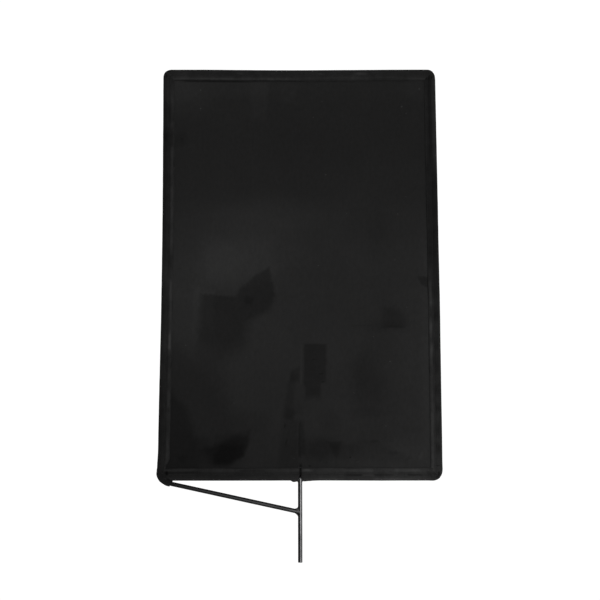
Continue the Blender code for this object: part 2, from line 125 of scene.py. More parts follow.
# ---------------------------------------------------------------- mesh helpers
def to_object(name, verts, faces, sharp=55.0, fields=None, slots=None, parts=None):
    """A mesh object from arrays, its faces turned outwards, smooth but for edges over the sharp angle."""
    verts, faces = np.asarray(verts, float), np.asarray(faces, int)
    tri = verts[faces[:, :3]]
    volume = np.einsum("ij,ij->i", tri[:, 0], np.cross(tri[:, 1], tri[:, 2])).sum()
    if faces.shape[1] == 4:
        tri = verts[faces[:, [0, 2, 3]]]
        volume += np.einsum("ij,ij->i", tri[:, 0], np.cross(tri[:, 1], tri[:, 2])).sum()
    if volume < 0:
        faces = faces[:, ::-1]
    me = bpy.data.meshes.new(name)
    me.vertices.add(len(verts))
    me.vertices.foreach_set("co", verts.astype(np.float32).ravel())
    me.loops.add(faces.size)
    me.loops.foreach_set("vertex_index", faces.astype(np.int32).ravel())
    me.polygons.add(len(faces))
    me.polygons.foreach_set("loop_start", (np.arange(len(faces)) * faces.shape[1]).astype(np.int32))
    me.polygons.foreach_set("loop_total", np.full(len(faces), faces.shape[1], np.int32))
    me.update(calc_edges=True)
    me.validate()
    me.shade_smooth()
    me.set_sharp_from_angle(angle=math.radians(sharp))
    for key, values in (fields or {}).items():
        me.attributes.new(key, "FLOAT", "POINT").data.foreach_set("value", np.asarray(values, np.float32).ravel())
    if parts is not None:
        me.polygons.foreach_set("material_index", np.asarray(parts, np.int32))
    ob = bpy.data.objects.new(name, me)
    bpy.context.scene.collection.objects.link(ob)
    for m in slots or []:
        me.materials.append(m)
    return ob


def quads(a, flip=False):
    q = np.stack([a[:-1, :-1], a[1:, :-1], a[1:, 1:], a[:-1, 1:]], -1).reshape(-1, 4)
    return q[:, ::-1] if flip else q


def sheet_mesh(outer, inner):
    """Points and faces of a closed sheet from the grids of its two surfaces."""
    ni, nj, _ = outer.shape
    o = np.arange(ni * nj).reshape(ni, nj)
    i = o + ni * nj
    st = lambda *c: np.stack(c, -1)
    faces = [quads(o), quads(i, True),
             st(o[1:, 0], o[:-1, 0], i[:-1, 0], i[1:, 0]), st(o[:-1, -1], o[1:, -1], i[1:, -1], i[:-1, -1]),
             st(o[0, :-1], o[0, 1:], i[0, 1:], i[0, :-1]), st(o[-1, 1:], o[-1, :-1], i[-1, :-1], i[-1, 1:])]
    return np.concatenate([outer.reshape(-1, 3), inner.reshape(-1, 3)]), np.concatenate(faces)


def tube_mesh(path, radius, sides, up=(0, 1, 0), close=True):
    """A round bar along path; radius is one number or one for each point, or a grid of [point, side]."""
    path = np.asarray(path, float)
    tan = np.gradient(path, axis=0)
    tan /= np.linalg.norm(tan, axis=1)[:, None]
    e1 = np.cross(tan, np.asarray(up, float))
    e1 /= np.linalg.norm(e1, axis=1)[:, None]
    e2 = np.cross(tan, e1)
    a = np.arange(sides) * 2 * math.pi / sides
    r = np.broadcast_to(np.asarray(radius, float).reshape(-1, 1) if np.ndim(radius) < 2 else radius, (len(path), sides))
    rings = path[:, None] + r[..., None] * (e1[:, None] * np.cos(a)[None, :, None] + e2[:, None] * np.sin(a)[None, :, None])
    n = len(path)
    idx = np.arange(n * sides).reshape(n, sides)
    wrap = np.concatenate([idx, idx[:, :1]], 1)
    faces = [quads(wrap)]
    verts = rings.reshape(-1, 3)
    if close:
        ends = []
        for ring, flip in ((idx[0], False), (idx[-1], True)):
            c = len(verts)
            verts = np.concatenate([verts, rings.reshape(-1, 3)[ring].mean(0)[None]])
            nxt = np.roll(ring, -1)
            tri = np.stack([ring, nxt, np.full(sides, c), np.full(sides, c)], -1)
            ends.append(tri[:, [1, 0, 2, 3]] if flip else tri)
        return verts, faces[0], np.concatenate(ends)[:, :3]
    return verts, faces[0], None


def mixed_object(name, verts, four, three, sharp=40.0, fields=None):
    """Like to_object, for a body with quads and triangles."""
    verts = np.asarray(verts, float)
    all_tri = np.concatenate([four[:, [0, 1, 2]], four[:, [0, 2, 3]], three])
    t = verts[all_tri]
    if np.einsum("ij,ij->i", t[:, 0], np.cross(t[:, 1], t[:, 2])).sum() < 0:
        four, three = four[:, ::-1], three[:, ::-1]
    me = bpy.data.meshes.new(name)
    me.from_pydata(verts.tolist(), [], four.tolist() + three.tolist())
    me.validate()
    me.shade_smooth()
    me.set_sharp_from_angle(angle=math.radians(sharp))
    for key, values in (fields or {}).items():
        me.attributes.new(key, "FLOAT", "POINT").data.foreach_set("value", np.asarray(values, np.float32).ravel())
    ob = bpy.data.objects.new(name, me)
    bpy.context.scene.collection.objects.link(ob)
    return ob


# ---------------------------------------------------------------- materials
class Nodes:
    """Short hand for building a material's node tree."""

    def __init__(self, name):
        self.mat = bpy.data.materials.new(name)
        self.mat.use_nodes = True
        self.t = self.mat.node_tree
        self.t.nodes.clear()
        self.out = self.t.nodes.new("ShaderNodeOutputMaterial")
        self.bsdf = self.t.nodes.new("ShaderNodeBsdfPrincipled")
        self.t.links.new(self.bsdf.outputs[0], self.out.inputs[0])
        self.co = self.t.nodes.new("ShaderNodeTexCoord").outputs["Object"]

    def put(self, socket, value):
        if isinstance(value, bpy.types.NodeSocket):
            self.t.links.new(value, socket)
        elif value is not None:
            socket.default_value = value

    def math(self, op, a, b=None, c=None, clamp=False):
        n = self.t.nodes.new("ShaderNodeMath")
        n.operation, n.use_clamp = op, clamp
        for s, v in zip(n.inputs, (a, b, c)):
            self.put(s, v)
        return n.outputs[0]

    def vec(self, op, a, b=None):
        n = self.t.nodes.new("ShaderNodeVectorMath")
        n.operation = op
        self.put(n.inputs[0], a)
        if b is not None:
            self.put(n.inputs[1], b)
        return n.outputs["Value"] if op in ("LENGTH", "DOT_PRODUCT") else n.outputs[0]

    def mapping(self, v, loc=(0, 0, 0), rot=(0, 0, 0), scale=(1, 1, 1), kind="POINT"):
        n = self.t.nodes.new("ShaderNodeMapping")
        n.vector_type = kind
        self.put(n.inputs["Vector"], v)
        n.inputs["Location"].default_value = loc
        n.inputs["Rotation"].default_value = rot
        n.inputs["Scale"].default_value = scale
        return n.outputs[0]

    def noise(self, scale, detail=2.0, rough=0.5, v=None, distortion=0.0, color=False):
        n = self.t.nodes.new("ShaderNodeTexNoise")
        n.inputs["Scale"].default_value = scale
        n.inputs["Detail"].default_value = detail
        n.inputs["Roughness"].default_value = rough
        n.inputs["Distortion"].default_value = distortion
        self.put(n.inputs["Vector"], self.co if v is None else v)
        return n.outputs["Color" if color else "Fac"]

    def voronoi(self, scale, v=None, feature="F1", out="Distance", randomness=1.0):
        n = self.t.nodes.new("ShaderNodeTexVoronoi")
        n.feature = feature
        n.inputs["Scale"].default_value = scale
        n.inputs["Randomness"].default_value = randomness
        self.put(n.inputs["Vector"], self.co if v is None else v)
        return n.outputs[out]

    def wave(self, scale, v, direction="X", distortion=0.0, detail=0.0):
        n = self.t.nodes.new("ShaderNodeTexWave")
        n.wave_type, n.bands_direction = "BANDS", direction
        n.inputs["Scale"].default_value = scale
        n.inputs["Distortion"].default_value = distortion
        n.inputs["Detail"].default_value = detail
        self.put(n.inputs["Vector"], v)
        return n.outputs["Fac"]

    def remap(self, x, a, b, c=0.0, d=1.0, kind="SMOOTHSTEP"):
        n = self.t.nodes.new("ShaderNodeMapRange")
        n.interpolation_type = kind
        n.clamp = True
        for s, v in zip(n.inputs, (x, a, b, c, d)):
            self.put(s, v)
        return n.outputs[0]

    def curve(self, x, points):
        """A value that follows points (x, value), smoothly between them."""
        lo, hi = points[0][0], points[-1][0]
        n = self.t.nodes.new("ShaderNodeValToRGB")
        n.color_ramp.interpolation = "B_SPLINE" if len(points) > 40 else "EASE"
        self.put(n.inputs[0], self.remap(x, lo, hi, kind="LINEAR"))
        top = max(v for _, v in points)
        e = n.color_ramp.elements
        for i, (p, v) in enumerate(points):
            k = e[i] if i < 1 else (e[-1] if i == len(points) - 1 else e.new((p - lo) / (hi - lo)))
            k.position = (p - lo) / (hi - lo)
            k.color = (v / top, v / top, v / top, 1.0)
        return self.math("MULTIPLY", n.outputs[0], top)

    def attr(self, name):
        n = self.t.nodes.new("ShaderNodeAttribute")
        n.attribute_type, n.attribute_name = "GEOMETRY", name
        return n.outputs["Fac"]

    def grey(self, x, tint=(1, 1, 1)):
        n = self.t.nodes.new("ShaderNodeCombineColor")
        for s, k in zip(n.inputs, tint):
            self.put(s, x if k == 1 else self.math("MULTIPLY", x, k))
        return n.outputs[0]

    def mix(self, f, a, b):
        n = self.t.nodes.new("ShaderNodeMix")
        n.data_type = "FLOAT"
        self.put(n.inputs[0], f)
        self.put(n.inputs[2], a)
        self.put(n.inputs[3], b)
        return n.outputs[0]

    def bump(self, height, strength, distance, normal=None):
        n = self.t.nodes.new("ShaderNodeBump")
        n.inputs["Strength"].default_value = strength
        n.inputs["Distance"].default_value = distance
        self.put(n.inputs["Height"], height)
        if normal is not None:
            self.put(n.inputs["Normal"], normal)
        return n.outputs[0]

    def separate(self, v):
        n = self.t.nodes.new("ShaderNodeSeparateXYZ")
        self.put(n.inputs[0], v)
        return n.outputs

    def set(self, **kw):
        for key, value in kw.items():
            self.put(self.bsdf.inputs[key.replace("_", " ")], value)
        return self.mat


def blob(n, where, centre, size, angle=0.0, edge=(1.25, 0.35), skew=0.0):
    """A soft mark on the cloth: 1 in its middle, 0 outside. centre and size are (x, z) in metres."""
    v = n.mapping(where, loc=(centre[0], 0, centre[1]), rot=(0, -math.radians(angle), 0),
                  scale=(size[0], 1.0, size[1]), kind="TEXTURE")
    s = n.separate(v)
    x = s[0] if not skew else n.math("MULTIPLY_ADD", s[2], -skew, s[0])
    d = n.math("SQRT", n.math("ADD", n.math("MULTIPLY", x, x), n.math("MULTIPLY", s[2], s[2])))
    return n.remap(d, edge[0], edge[1])


def patch(n, where, corners, soft):
    """A soft-edged convex mark: 1 inside. corners (x, z) in metres, anticlockwise; soft is each side's blur in metres."""
    pts = [Vector((x, 0.0, z)) for x, z in corners]
    soft = soft if isinstance(soft, (list, tuple)) else [soft] * len(pts)
    low = None
    for i, (p, w) in enumerate(zip(pts, soft)):
        d = (pts[(i + 1) % len(pts)] - p).normalized()
        nrm = Vector((-d.z, 0.0, d.x)) / w
        side = n.math("SUBTRACT", n.vec("DOT_PRODUCT", where, nrm), nrm.dot(p))
        low = side if low is None else n.math("MINIMUM", low, side)
    return n.remap(low, -1.0, 1.0)


def wander_lint(n, co):
    """Coordinates shared by the single specks, bent a little so that none is a plain dot."""
    if not hasattr(n, "lint_co"):
        v = n.vec("SUBTRACT", n.noise(320.0, 2.0, 0.6, co, color=True), (0.5, 0.5, 0.5))
        n.lint_co = n.vec("ADD", n.co, n.vec("MULTIPLY", v, (0.004, 0.0, 0.004)))
    return n.lint_co


def cloth_material(name, tone, marks=False, hem=False, along=(), bands=(), spots=(), drift=(0.0, 0.0), seed=0.0):
    """Napped black cotton: a twill ground under brushed fibre, with marks where the nap lies over, and painted light
    and shade on the hems and in places on the panel.
    """
    n = Nodes(name)
    co = n.vec("ADD", n.co, (seed, seed * 0.37, seed * 0.71))
    # brushed tone at several scales
    broad = n.noise(5.5, 2.0, 0.5, co)
    hand = n.noise(24.0, 3.0, 0.55, n.mapping(co, scale=(1.0, 1.0, 0.6)))
    fine = n.noise(150.0, 3.0, 0.6, n.mapping(co, scale=(1.0, 1.0, 0.55)))
    t = n.math("MULTIPLY_ADD", broad, 0.22, 0.89)
    t = n.math("MULTIPLY", t, n.math("MULTIPLY_ADD", hand, 0.18, 0.91))
    t = n.math("MULTIPLY", t, n.math("MULTIPLY_ADD", fine, 0.36, 0.82))
    xyz = n.separate(n.co)
    if drift != (0.0, 0.0):      # slow change of tone along x
        t = n.math("MULTIPLY", t, n.math("MULTIPLY_ADD", xyz[0], drift[0], 1.0))
        # clouds and long strokes where hands and folding have laid the nap over
        clouds = n.noise(3.4, 3.0, 0.55, n.vec("ADD", co, n.vec("MULTIPLY", n.noise(9.0, 2.0, 0.5, co, color=True), (0.10, 0.0, 0.10))))
        t = n.math("MULTIPLY", t, n.remap(clouds, 0.34, 0.66, 0.84, 1.16))
        strokes = n.noise(13.0, 2.0, 0.5, n.mapping(co, rot=(0, 0.35, 0), scale=(1.0, 1.0, 0.30)))
        t = n.math("MULTIPLY", t, n.remap(strokes, 0.56, 0.64, 1.0, 0.86))
    if marks:
        def wander(scale, amount, detail=3.0):
            v = n.vec("SUBTRACT", n.noise(scale, detail, 0.6, co, color=True), (0.5, 0.5, 0.5))
            return n.vec("ADD", n.co, n.vec("MULTIPLY", v, (amount, 0.0, amount)))

        w, w2, w3 = wander(16.0, 0.046), wander(46.0, 0.018, 4.0), wander(60.0, 0.005)
        tone_z = n.curve(xyz[2], [(0.20, 0.90), (0.32, 0.95), (0.45, 1.0), (0.60, 1.0), (0.655, 1.05), (0.74, 0.99), (0.82, 0.86), (0.92, 0.80), (1.0, 0.83), (1.07, 0.93)])
        t = n.math("MULTIPLY", t, tone_z)

        def dark(mask, amount):
            nonlocal t
            t = n.math("MULTIPLY", t, n.math("MULTIPLY_ADD", mask, -amount, 1.0))

        def light(mask, amount):
            dark(mask, -amount)

        # a lighter zone above the big mark, and the paler right side below the middle, which is painted light from the
        # right
        light(blob(n, w, (-0.150, 0.590), (0.20, 0.20), 0, (1.3, 0.2)), 0.13)
        light(blob(n, w, (-0.270, 1.030), (0.08, 0.06), 0, (1.3, 0.2)), 0.20)
        light(blob(n, w, (0.262, 1.045), (0.040, 0.032), 0, (1.3, 0.2)), 0.14)
        light(blob(n, w, (-0.043, 0.690), (0.045, 0.055), 0, (1.3, 0.2)), 0.08)
        light(blob(n, w, (0.090, 0.465), (0.055, 0.060), 0, (1.3, 0.2)), 0.09)
        light(patch(n, w, [(-0.222, 0.600), (-0.058, 0.600), (-0.064, 0.700), (-0.135, 0.722), (-0.215, 0.702)], [0.020, 0.020, 0.030, 0.040, 0.030]), 0.15)
        light(blob(n, w, (-0.168, 0.650), (0.052, 0.052), 0, (1.3, 0.4)), 0.13)
        light(blob(n, w, (0.29, 0.42), (0.10, 0.26), 0, (1.3, 0.2)), 0.18)
        light(blob(n, w, (-0.065, 0.757), (0.130, 0.048), 0, (1.3, 0.2)), 0.14)
        light(blob(n, w, (-0.245, 0.600), (0.050, 0.060), 0, (1.3, 0.2)), 0.10)
        dark(blob(n, w, (0.170, 0.745), (0.090, 0.050), 0, (1.3, 0.2)), 0.08)
        dark(blob(n, w, (-0.105, 0.295), (0.050, 0.040), 0, (1.3, 0.2)), 0.17)
        light(blob(n, w, (0.215, 0.215), (0.130, 0.050), 0, (1.3, 0.2)), 0.26)
        # painted light: lifts the shade beside the fold of the right hem
        light(patch(n, n.co, [(0.268, 0.235), (0.287, 0.235), (0.287, 0.720), (0.268, 0.720)], [0.02, 0.003, 0.05, 0.012]), 0.13)
        # big mark left of centre: flat top, a spur that points up to the right, fading below
        slab = patch(n, w2, [(-0.222, 0.470), (-0.165, 0.440), (-0.122, 0.462), (-0.110, 0.515), (-0.112, 0.5715), (-0.217, 0.5785)],
                     [0.035, 0.035, 0.022, 0.014, 0.004, 0.012])
        spur = patch(n, w2, [(-0.128, 0.508), (-0.062, 0.549), (-0.053, 0.576), (-0.068, 0.639), (-0.118, 0.604), (-0.145, 0.571)],
                     [0.012, 0.007, 0.005, 0.004, 0.005, 0.012])
        dark(n.math("MAXIMUM", slab, spur), 0.37)
        dark(blob(n, w2, (-0.1140, 0.5650), (0.0120, 0.0130), 0, (1.3, 0.4)), 0.24)
        light(patch(n, w2, [(-0.235, 0.500), (-0.1890, 0.500), (-0.1885, 0.590), (-0.235, 0.590)], [0.030, 0.005, 0.01, 0.01]), 0.16)
        # two straight-sided marks, as from a hand laid on the nap, and the trail beside them
        upper = patch(n, w3, [(0.0080, 0.385), (0.0571, 0.385), (0.0575, 0.4684), (0.0092, 0.4684)], [0.010, 0.004, 0.0028, 0.003])
        lower = patch(n, w3, [(0.0126, 0.3510), (0.0445, 0.3510), (0.0462, 0.3920), (0.0078, 0.3920)], [0.010, 0.005, 0.004, 0.004])
        dark(n.math("MAXIMUM", upper, lower), 0.35)
        dark(patch(n, w3, [(0.0080, 0.4510), (0.0571, 0.4510), (0.0575, 0.4684), (0.0092, 0.4684)], [0.008, 0.004, 0.0028, 0.003]), 0.03)
        for at, size, amount in (((0.0300, 0.4345), (0.0050, 0.0016), 0.26), ((0.0456, 0.4033), (0.0062, 0.0016), 0.32), ((0.0499, 0.3858), (0.0060, 0.0020), 0.36)):
            dark(blob(n, w3, at, size, 0, (1.2, 0.4)), amount)
        light(blob(n, w3, (0.0300, 0.3478), (0.0042, 0.0016), 0, (1.2, 0.4)), 0.22)
        light(patch(n, n.co, [(0.0012, 0.3897), (0.0042, 0.3897), (0.0042, 0.4662), (0.0014, 0.4662)], [0.010, 0.0015, 0.003, 0.0015]), 0.13)
        dark(patch(n, w3, [(-0.0225, 0.3850), (-0.0010, 0.3850), (-0.0009, 0.4165), (-0.0185, 0.4110)], [0.009, 0.0030, 0.006, 0.004]), 0.26)
        dark(patch(n, w3, [(-0.0360, 0.3250), (-0.0150, 0.3300), (-0.0090, 0.3980), (-0.0205, 0.4020)], [0.008, 0.006, 0.010, 0.004]), 0.20)
        dark(blob(n, w3, (-0.0235, 0.3165), (0.0140, 0.0140), 0, (1.3, 0.4)), 0.36)
        dark(patch(n, w3, [(-0.0140, 0.3160), (0.0045, 0.3140), (0.0050, 0.3370), (-0.0140, 0.3370)], 0.006), 0.11)
        dark(patch(n, w3, [(-0.0470, 0.2000), (-0.0060, 0.2000), (-0.0040, 0.3060), (-0.0370, 0.3130)], [0.030, 0.005, 0.008, 0.008]), 0.20)
        dark(blob(n, w3, (-0.0325, 0.2911), (0.0022, 0.0060), 0, (1.2, 0.4)), 0.28)
        dark(blob(n, w3, (-0.0295, 0.2563), (0.0020, 0.0080), -14, (1.2, 0.4)), 0.30)
        dark(patch(n, w3, [(-0.0037, 0.2240), (0.0013, 0.2240), (0.0013, 0.2986), (-0.0030, 0.2986)], [0.005, 0.003, 0.006, 0.0018]), 0.38)
        dark(patch(n, w3, [(0.0005, 0.2299), (0.0112, 0.2299), (0.0085, 0.2990), (0.0005, 0.3030)], [0.006, 0.004, 0.006, 0.003]), 0.23)
        # painted shade: the slit's dark opening above the pin, put on the cloth's edge
        dark(patch(n, n.co, [(-0.0026, 0.1860), (0.0044, 0.1860), (0.0036, 0.2080), (-0.0010, 0.2080)], [0.004, 0.0018, 0.004, 0.0018]), 0.55)
        dark(blob(n, n.co, (0.0207, 0.2042), (0.0042, 0.0022), 0, (1.2, 0.4)), 0.35)
        # dark area in the lower left
        dark(patch(n, w2, [(-0.190, 0.206), (-0.150, 0.208), (-0.121, 0.228), (-0.110, 0.250), (-0.109, 0.281), (-0.152, 0.262), (-0.205, 0.243)],
                   [0.010, 0.007, 0.007, 0.007, 0.007, 0.010, 0.016]), 0.48)
        dark(blob(n, w2, (-0.208, 0.248), (0.026, 0.022), 0, (1.3, 0.4)), 0.18)
        dark(patch(n, w3, [(-0.1860, 0.2430), (-0.1180, 0.2430), (-0.1280, 0.2770), (-0.1815, 0.2700)], [0.010, 0.010, 0.008, 0.006]), 0.18)
        dark(patch(n, w3, [(-0.1853, 0.2045), (-0.1552, 0.2045), (-0.1208, 0.2279), (-0.1231, 0.2472), (-0.1684, 0.2473), (-0.1876, 0.2280)], 0.006), 0.36)
        dark(blob(n, w2, (-0.2048, 0.2217), (0.018, 0.022), 0, (1.3, 0.4)), 0.20)
        dark(blob(n, w2, (-0.2522, 0.2217), (0.010, 0.010), 0, (1.3, 0.4)), 0.15)
        dark(blob(n, w2, (-0.2640, 0.9310), (0.018, 0.018), 0, (1.3, 0.3)), 0.12)
        dark(blob(n, n.co, (-0.2627, 0.9299), (0.0042, 0.0018), 0, (1.2, 0.4)), 0.25)
        dark(blob(n, n.co, (-0.2665, 0.6356), (0.0044, 0.0016), 0, (1.2, 0.4)), 0.22)
        dark(patch(n, w2, [(-0.36, 0.15), (-0.21, 0.15), (-0.224, 0.262), (-0.247, 0.330), (-0.285, 0.372), (-0.36, 0.400)], [0.02, 0.014, 0.012, 0.014, 0.02, 0.02]), 0.34)
        dark(patch(n, w, [(-0.40, 0.12), (-0.12, 0.12), (-0.135, 0.300), (-0.185, 0.425), (-0.30, 0.480), (-0.40, 0.480)], [0.03, 0.03, 0.035, 0.04, 0.05, 0.05]), 0.30)
        dark(blob(n, w, (-0.06, 0.225), (0.16, 0.060), 0, (1.3, 0.3)), 0.14)
        # fainter ones to the right
        dark(patch(n, w2, [(0.1790, 0.5040), (0.2290, 0.5040), (0.2320, 0.5270), (0.2030, 0.5510), (0.1830, 0.5480)], [0.004, 0.014, 0.014, 0.009, 0.014]), 0.25)
        dark(patch(n, w3, [(0.1900, 0.5042), (0.2300, 0.5042), (0.2300, 0.5092), (0.1900, 0.5092)], [0.002, 0.004, 0.003, 0.012]), 0.12)
        dark(patch(n, w3, [(0.1130, 0.5078), (0.1560, 0.5078), (0.1560, 0.5110), (0.1130, 0.5110)], [0.002, 0.008, 0.002, 0.010]), 0.12)
        dark(patch(n, w2, [(0.1500, 0.4960), (0.2280, 0.4960), (0.2420, 0.5180), (0.1530, 0.5215)], [0.008, 0.020, 0.010, 0.008]), 0.10)
        dark(patch(n, w2, [(0.268, 0.601), (0.2905, 0.586), (0.310, 0.590), (0.310, 0.618), (0.261, 0.6175)], [0.004, 0.005, 0.01, 0.004, 0.004]), 0.36)
        dark(blob(n, w, (0.145, 0.385), (0.040, 0.070), 0, (1.3, 0.3)), 0.21)
        dark(blob(n, w2, (0.145, 0.318), (0.042, 0.014), 0, (1.3, 0.4)), 0.10)
        dark(blob(n, w2, (0.045, 0.242), (0.050, 0.028), 0, (1.3, 0.3)), 0.27)
        dark(blob(n, w2, (0.098, 0.236), (0.030, 0.020), 0, (1.3, 0.3)), 0.13)
        dark(patch(n, w3, [(0.0790, 0.2215), (0.0890, 0.2562), (0.0590, 0.2562)], [0.005, 0.0030, 0.006]), 0.27)
        dark(blob(n, w2, (0.062, 0.300), (0.024, 0.030), 0, (1.3, 0.3)), 0.12)
        dark(patch(n, w2, [(0.120, 0.214), (0.232, 0.212), (0.228, 0.226), (0.172, 0.254), (0.135, 0.262), (0.105, 0.245)], [0.01, 0.01, 0.006, 0.006, 0.008, 0.010]), 0.15)
        dark(blob(n, w, (0.172, 0.710), (0.032, 0.060), 0, (1.3, 0.3)), 0.08)
        # small scuffs above the right half of the bottom hem
        for at, size, turn, amount in (((0.1608, 0.2566), (0.0105, 0.0040), 0, 0.18), ((0.2008, 0.2319), (0.0140, 0.0046), 0, 0.14),
                                       ((0.2333, 0.2201), (0.0095, 0.0040), 25, 0.14), ((0.1079, 0.2223), (0.0028, 0.0024), 0, 0.42),
                                       ((0.2603, 0.2266), (0.0042, 0.0105), -28, -0.15), ((0.1241, 0.2126), (0.0048, 0.0018), 0, -0.30)):
            dark(blob(n, w3, at, size, turn, (1.25, 0.35)), amount)
        # strips just under the top hem where the nap stands up
        light(patch(n, w2, [(-0.290, 1.020), (-0.075, 1.030), (-0.060, 1.085), (-0.290, 1.085)], [0.012, 0.012, 0.010, 0.010]), 0.10)
        light(patch(n, w2, [(-0.107, 0.975), (-0.075, 0.975), (-0.070, 1.060), (-0.110, 1.060)], [0.012, 0.006, 0.006, 0.006]), 0.14)
        light(patch(n, w2, [(-0.040, 1.012), (-0.010, 1.012), (-0.005, 1.060), (-0.045, 1.060)], [0.006, 0.006, 0.006, 0.006]), 0.10)
        # painted shadow line under the fold of the top hem
        top_z = ZT + EDGE - 26.7 * MM
        dark(patch(n, n.co, [(-0.258, top_z - 0.0018), (-0.112, top_z - 0.0026), (-0.112, top_z + 0.0006), (-0.258, top_z + 0.0014)], [0.0008, 0.022, 0.0008, 0.012]), 0.50)
        dark(patch(n, n.co, [(-0.110, top_z - 0.0016), (0.028, top_z - 0.0010), (0.028, top_z + 0.0014), (-0.110, top_z + 0.0010)], [0.0008, 0.010, 0.0008, 0.020]), 0.22)
        # single pale specks of lint
        for x, z, r in ((-0.2217, 1.001, 2.2), (-0.2222, 1.0437, 1.4), (0.0507, 1.0164, 1.5), (0.0311, 0.9793, 1.5), (0.2297, 1.0047, 2.0),
                        (0.2392, 0.9892, 1.5), (0.2700, 1.0459, 2.0), (0.0589, 0.8472, 1.6), (0.2365, 0.7977, 1.4), (0.1043, 0.7599, 1.3),
                        (0.2175, 0.7583, 1.4), (0.0410, 0.6421, 1.5), (0.2102, 0.6547, 1.3), (0.2345, 0.5491, 1.3), (0.1606, 0.4844, 1.2),
                        (-0.2493, 0.4659, 1.2), (0.1964, 0.4295, 1.5), (0.2394, 0.3858, 1.2), (0.1174, 0.3620, 1.4), (0.1860, 0.2898, 1.4)):
            light(blob(n, wander_lint(n, co), (x, z), (r * MM, r * 0.8 * MM), 0, (1.2, 0.5)), 1.1)
    if hem:
        s = n.math("ADD", n.attr("hem_s"), n.math("MULTIPLY_ADD", n.noise(45.0, 2.0, 0.5, co), 2.4, -1.2))   # mm from the outer edge
        # tone across the hem: painted shade in the grooves and under the fold, painted highlight with worn nap on the
        # ridge
        for axis, zones in hem:
            whole = None
            for points, edge in zones:
                c = n.curve(s, points)
                whole = c if whole is None else n.mix(n.remap(xyz[axis], edge[0], edge[1]), whole, c)
            t = n.math("MULTIPLY", t, whole)
        # painted light and shade along each hem, by position
        for axis, points in along:
            t = n.math("MULTIPLY", t, n.curve(xyz[axis], points))
        # painted glints on the folds and ridges, and painted shade between pleats and on the edges
        for axis, middle, half, points in bands:                           # lines along the hem, in mm from its outer edge
            mask = n.remap(n.math("ABSOLUTE", n.math("SUBTRACT", s, middle)), half, half * 0.35)
            t = n.math("MULTIPLY", t, n.mix(mask, 1.0, n.curve(xyz[axis], points)))
        wear_and_painted_highlight = n.noise(34.0, 3.0, 0.6, n.mapping(co, scale=(1.0, 0.4, 1.0)))
        t = n.math("MULTIPLY", t, n.math("MULTIPLY_ADD", wear_and_painted_highlight, 0.95, 0.525))
        for centre, size, angle, amount in spots:                          # dark spots are painted shadow in tucks and under folds, pale ones painted highlights
            t = n.math("MULTIPLY", t, n.math("MULTIPLY_ADD", blob(n, n.co, centre, size, angle, (1.2, 0.4)), amount, 1.0))
    # lint and short pale fibres caught in the nap
    cell = n.voronoi(38.0, co)
    pick = n.voronoi(38.0, co, out="Color")
    rare = n.math("GREATER_THAN", n.separate(pick)[0], 0.90)
    speck = n.math("MULTIPLY", n.remap(cell, 0.060, 0.020), rare)
    stretched = n.mapping(co, rot=(0, 0.6, 0), scale=(1.0, 1.0, 0.22))
    hair_cell = n.voronoi(60.0, stretched)
    hair_pick = n.separate(n.voronoi(60.0, stretched, out="Color"))[1]
    hair = n.math("MULTIPLY", n.remap(hair_cell, 0.050, 0.025), n.math("GREATER_THAN", hair_pick, 0.965))
    lint = n.math("MAXIMUM", speck, n.math("MULTIPLY", hair, 0.6))
    value = n.math("MULTIPLY", t, tone)
    value = n.math("ADD", value, n.math("MULTIPLY", lint, 0.018))
    n.set(Base_Color=n.grey(value, (1, 0.995, 0.99)))
    n.set(Roughness=n.math("MULTIPLY_ADD", hand, 0.12, 0.84))
    n.set(Specular_IOR_Level=0.06, Sheen_Weight=0.018, Sheen_Roughness=0.55, Diffuse_Roughness=0.9)
    # twill ground: fine diagonal ribs, half hidden by the nap
    diag = n.mapping(co, rot=(0, math.radians(38), 0))
    rib = n.wave(330.0, diag, "X", 0.6, 1.0)
    weft = n.wave(420.0, co, "Z", 0.4, 0.0)
    nap = n.noise(1100.0, 3.0, 0.65, n.mapping(co, scale=(1.0, 1.0, 0.4)))
    tuft = n.noise(260.0, 2.0, 0.5, n.mapping(co, scale=(1.0, 1.0, 0.5)))
    height = n.math("ADD", n.math("MULTIPLY", rib, 0.35), n.math("ADD", n.math("MULTIPLY", weft, 0.15), n.math("MULTIPLY", nap, 0.6)))
    height = n.math("ADD", height, n.math("MULTIPLY", tuft, 0.8))
    height = n.math("ADD", height, n.math("MULTIPLY", lint, 1.2))
    n.set(Normal=n.bump(height, 0.55, 0.00040))
    return n.mat


def thread_material():
    n = Nodes("waxed_thread")
    ply = n.wave(520.0, n.mapping(n.co, rot=(0, math.radians(35), 0)), "X", 0.5, 1.0)
    vary = n.noise(90.0, 2.0)
    n.set(Base_Color=n.grey(n.math("MULTIPLY", n.math("MULTIPLY_ADD", ply, 0.35, 0.75), n.math("MULTIPLY_ADD", vary, 0.012, 0.016))))
    n.set(Roughness=n.math("MULTIPLY_ADD", vary, 0.2, 0.5), Specular_IOR_Level=0.22, Sheen_Weight=0.05, Sheen_Roughness=0.4)
    n.set(Normal=n.bump(ply, 0.5, 0.00012))
    return n.mat


